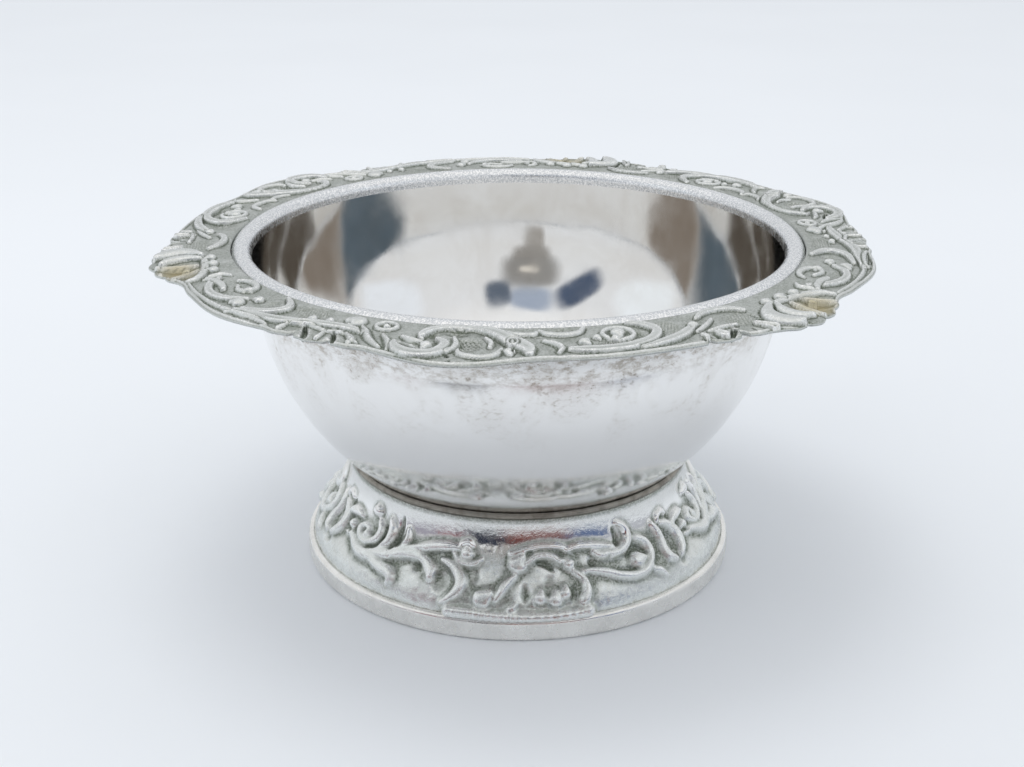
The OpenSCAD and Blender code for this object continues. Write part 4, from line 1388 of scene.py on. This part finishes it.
class SALT_CELLAR_OT_stage(bpy.types.Operator):
    """Set up the pale floor, the soft light and the camera"""

    bl_idname = "salt_cellar.stage"
    bl_label = "Stage"

    def execute(self, context):
        scene = context.scene
        scene.view_settings.view_transform = "Standard"
        stage = scene.salt_cellar_stage
        self.floor(tuple(stage.floor))
        self.world(scene, stage.sky)
        # glowing cards out of view that paint reflections into the metal
        for card in CARDS:
            self.card(*card)
        for name, place, size, share in LAMPS:
            self.lamp(name, place, size, stage.lamp * share)
        camera = bpy.data.cameras.new("camera")
        camera.lens = stage.lens
        camera.sensor_width = SENSOR_W
        camera.clip_start, camera.clip_end = CLIP_START, CLIP_END
        seat = bpy.data.objects.new("camera", camera)
        seat.location = [c * MM for c in CAMERA_PLACE]
        seat.rotation_euler = (math.radians(90 - CAMERA_PITCH), 0, 0)
        scene.collection.objects.link(seat)
        scene.camera = seat
        return {"FINISHED"}

    @staticmethod
    def floor(colour):
        half = FLOOR_SIZE / 2
        corners = [(x * half, y * half, 0) for x, y in ((-1, -1), (1, -1), (1, 1), (-1, 1))]
        obj = make_object("floor", corners, [(0, 1, 2, 3)], False)
        f = Finish("floor_paint")
        shader = f.node("ShaderNodeBsdfDiffuse")
        mottle = f.spread(f.noise(MOTTLE_GRAIN, 2), 0.3, 0.7)
        darker = tuple(c * MOTTLE_SHARE for c in colour)
        f.link(f.blend(mottle, colour, darker), shader.inputs["Color"])
        f.link(shader.outputs[0], f.output.inputs["Surface"])
        obj.data.materials.append(f.material)

    @staticmethod
    def world(scene, strength):
        world = bpy.data.worlds.new("studio")
        scene.world = world
        world.use_nodes = True
        nodes, links = world.node_tree.nodes, world.node_tree.links
        background = nodes["Background"]
        background.inputs["Strength"].default_value = strength
        place = nodes.new("ShaderNodeTexCoord")
        split = nodes.new("ShaderNodeSeparateXYZ")
        ramp = nodes.new("ShaderNodeValToRGB")
        links.new(place.outputs["Generated"], split.inputs[0])
        links.new(split.outputs["Z"], ramp.inputs["Fac"])
        links.new(ramp.outputs["Color"], background.inputs["Color"])
        set_stops(ramp, WORLD_STOPS)

    @staticmethod
    def card(name, azimuth, elevation, wide, tall, lean, distance, aim_z, seen, colour):
        """A glowing card with soft edges, out of view, that only glossy reflections show: a
        painted reflection in the metal.
        """
        a, e = math.radians(azimuth), math.radians(elevation)
        out = np.array([math.sin(a) * math.cos(e), -math.cos(a) * math.cos(e), math.sin(e)])
        level = np.array([math.cos(a), math.sin(a), 0])
        upright = np.cross(out, level)
        b = math.radians(lean)
        side = level * math.cos(b) + upright * math.sin(b)
        up = upright * math.cos(b) - level * math.sin(b)
        half_w = distance * math.tan(math.radians(wide / 2))
        half_t = distance * math.tan(math.radians(tall / 2))
        b = np.linspace(0, 2 * np.pi, CARD_SIDES, endpoint=False)[:, None]
        rim = (side * half_w * np.copysign(np.abs(np.cos(b)) ** CARD_ROUND, np.cos(b))
               + up * half_t * np.copysign(np.abs(np.sin(b)) ** CARD_ROUND, np.sin(b)))
        middle = out * distance + np.array([0, 0, aim_z])
        rings = np.concatenate([middle + rim * share for share, _ in CARD_RINGS])
        faces = [tuple(f) for f in ring_faces(len(CARD_RINGS), CARD_SIDES, close_rows=False)]
        faces.append(tuple(range(CARD_SIDES)))
        obj = make_object(name, rings, faces, False)
        strengths = [strength for _, strength in CARD_RINGS]
        set_attribute(obj, "strength", np.repeat(strengths, CARD_SIDES))
        f = Finish(name)
        light = f.node("ShaderNodeEmission")
        light.inputs["Color"].default_value = (*colour, 1)
        blend = f.node("ShaderNodeMixShader")
        depth = f.node("ShaderNodeLightPath").outputs["Glossy Depth"]
        after = f.maths("GREATER_THAN", depth, seen[0] - 0.5)
        before = f.maths("LESS_THAN", depth, seen[1] + 0.5)
        f.link(f.times(f.attribute("strength"), after, before), blend.inputs[0])
        f.link(f.node("ShaderNodeBsdfTransparent").outputs[0], blend.inputs[1])
        f.link(light.outputs[0], blend.inputs[2])
        f.link(blend.outputs[0], f.output.inputs["Surface"])
        obj.data.materials.append(f.material)
        obj.visible_camera = False
        obj.visible_diffuse = False
        obj.visible_shadow = False

    @staticmethod
    def lamp(name, place, size, power):
        lamp = bpy.data.lights.new(name, "AREA")
        lamp.shape = "RECTANGLE"
        lamp.size, lamp.size_y = size[0] * MM, size[1] * MM
        lamp.energy = power
        obj = bpy.data.objects.new(name, lamp)
        obj.location = [c * MM for c in place]
        towards = Vector(LAMP_AIM) - Vector(place)
        obj.rotation_euler = towards.to_track_quat("-Z", "Y").to_euler()
        obj.visible_glossy = False
        bpy.context.scene.collection.objects.link(obj)


# ---- Panel and registration ----

PIECE_OPERATORS = (
    SALT_CELLAR_OT_bowl,
    SALT_CELLAR_OT_border,
    SALT_CELLAR_OT_neck_ring,
    SALT_CELLAR_OT_foot,
    SALT_CELLAR_OT_foot_band,
    SALT_CELLAR_OT_stage,
)


class SALT_CELLAR_PT_pieces(bpy.types.Panel):
    """Lists the pieces of the salt cellar"""

    bl_label = "Salt cellar"
    bl_idname = "SALT_CELLAR_PT_pieces"
    bl_space_type = "VIEW_3D"
    bl_region_type = "UI"
    bl_category = "Salt cellar"

    def draw(self, context):
        column = self.layout.column()
        for operator in PIECE_OPERATORS:
            column.operator(operator.bl_idname)
        for group in (context.scene.salt_cellar_sizes, context.scene.salt_cellar_finish,
                      context.scene.salt_cellar_stage):
            for name in group.__annotations__:
                column.prop(group, name)


PROPERTY_GROUPS = (SaltCellarSizes, SaltCellarFinish, SaltCellarStage)
CLASSES = PROPERTY_GROUPS + PIECE_OPERATORS + (SALT_CELLAR_PT_pieces,)


def register():
    for cls in CLASSES:
        bpy.utils.register_class(cls)
    bpy.types.Scene.salt_cellar_sizes = PointerProperty(type=SaltCellarSizes)
    bpy.types.Scene.salt_cellar_finish = PointerProperty(type=SaltCellarFinish)
    bpy.types.Scene.salt_cellar_stage = PointerProperty(type=SaltCellarStage)


def unregister():
    for name in ("salt_cellar_sizes", "salt_cellar_finish", "salt_cellar_stage"):
        delattr(bpy.types.Scene, name)
    for cls in reversed(CLASSES):
        bpy.utils.unregister_class(cls)


def main():
    register()
    bpy.ops.salt_cellar.bowl()
    bpy.ops.salt_cellar.border()
    bpy.ops.salt_cellar.neck_ring()
    bpy.ops.salt_cellar.foot()
    bpy.ops.salt_cellar.foot_band()
    bpy.ops.salt_cellar.stage()


if __name__ == "__main__":
    main()
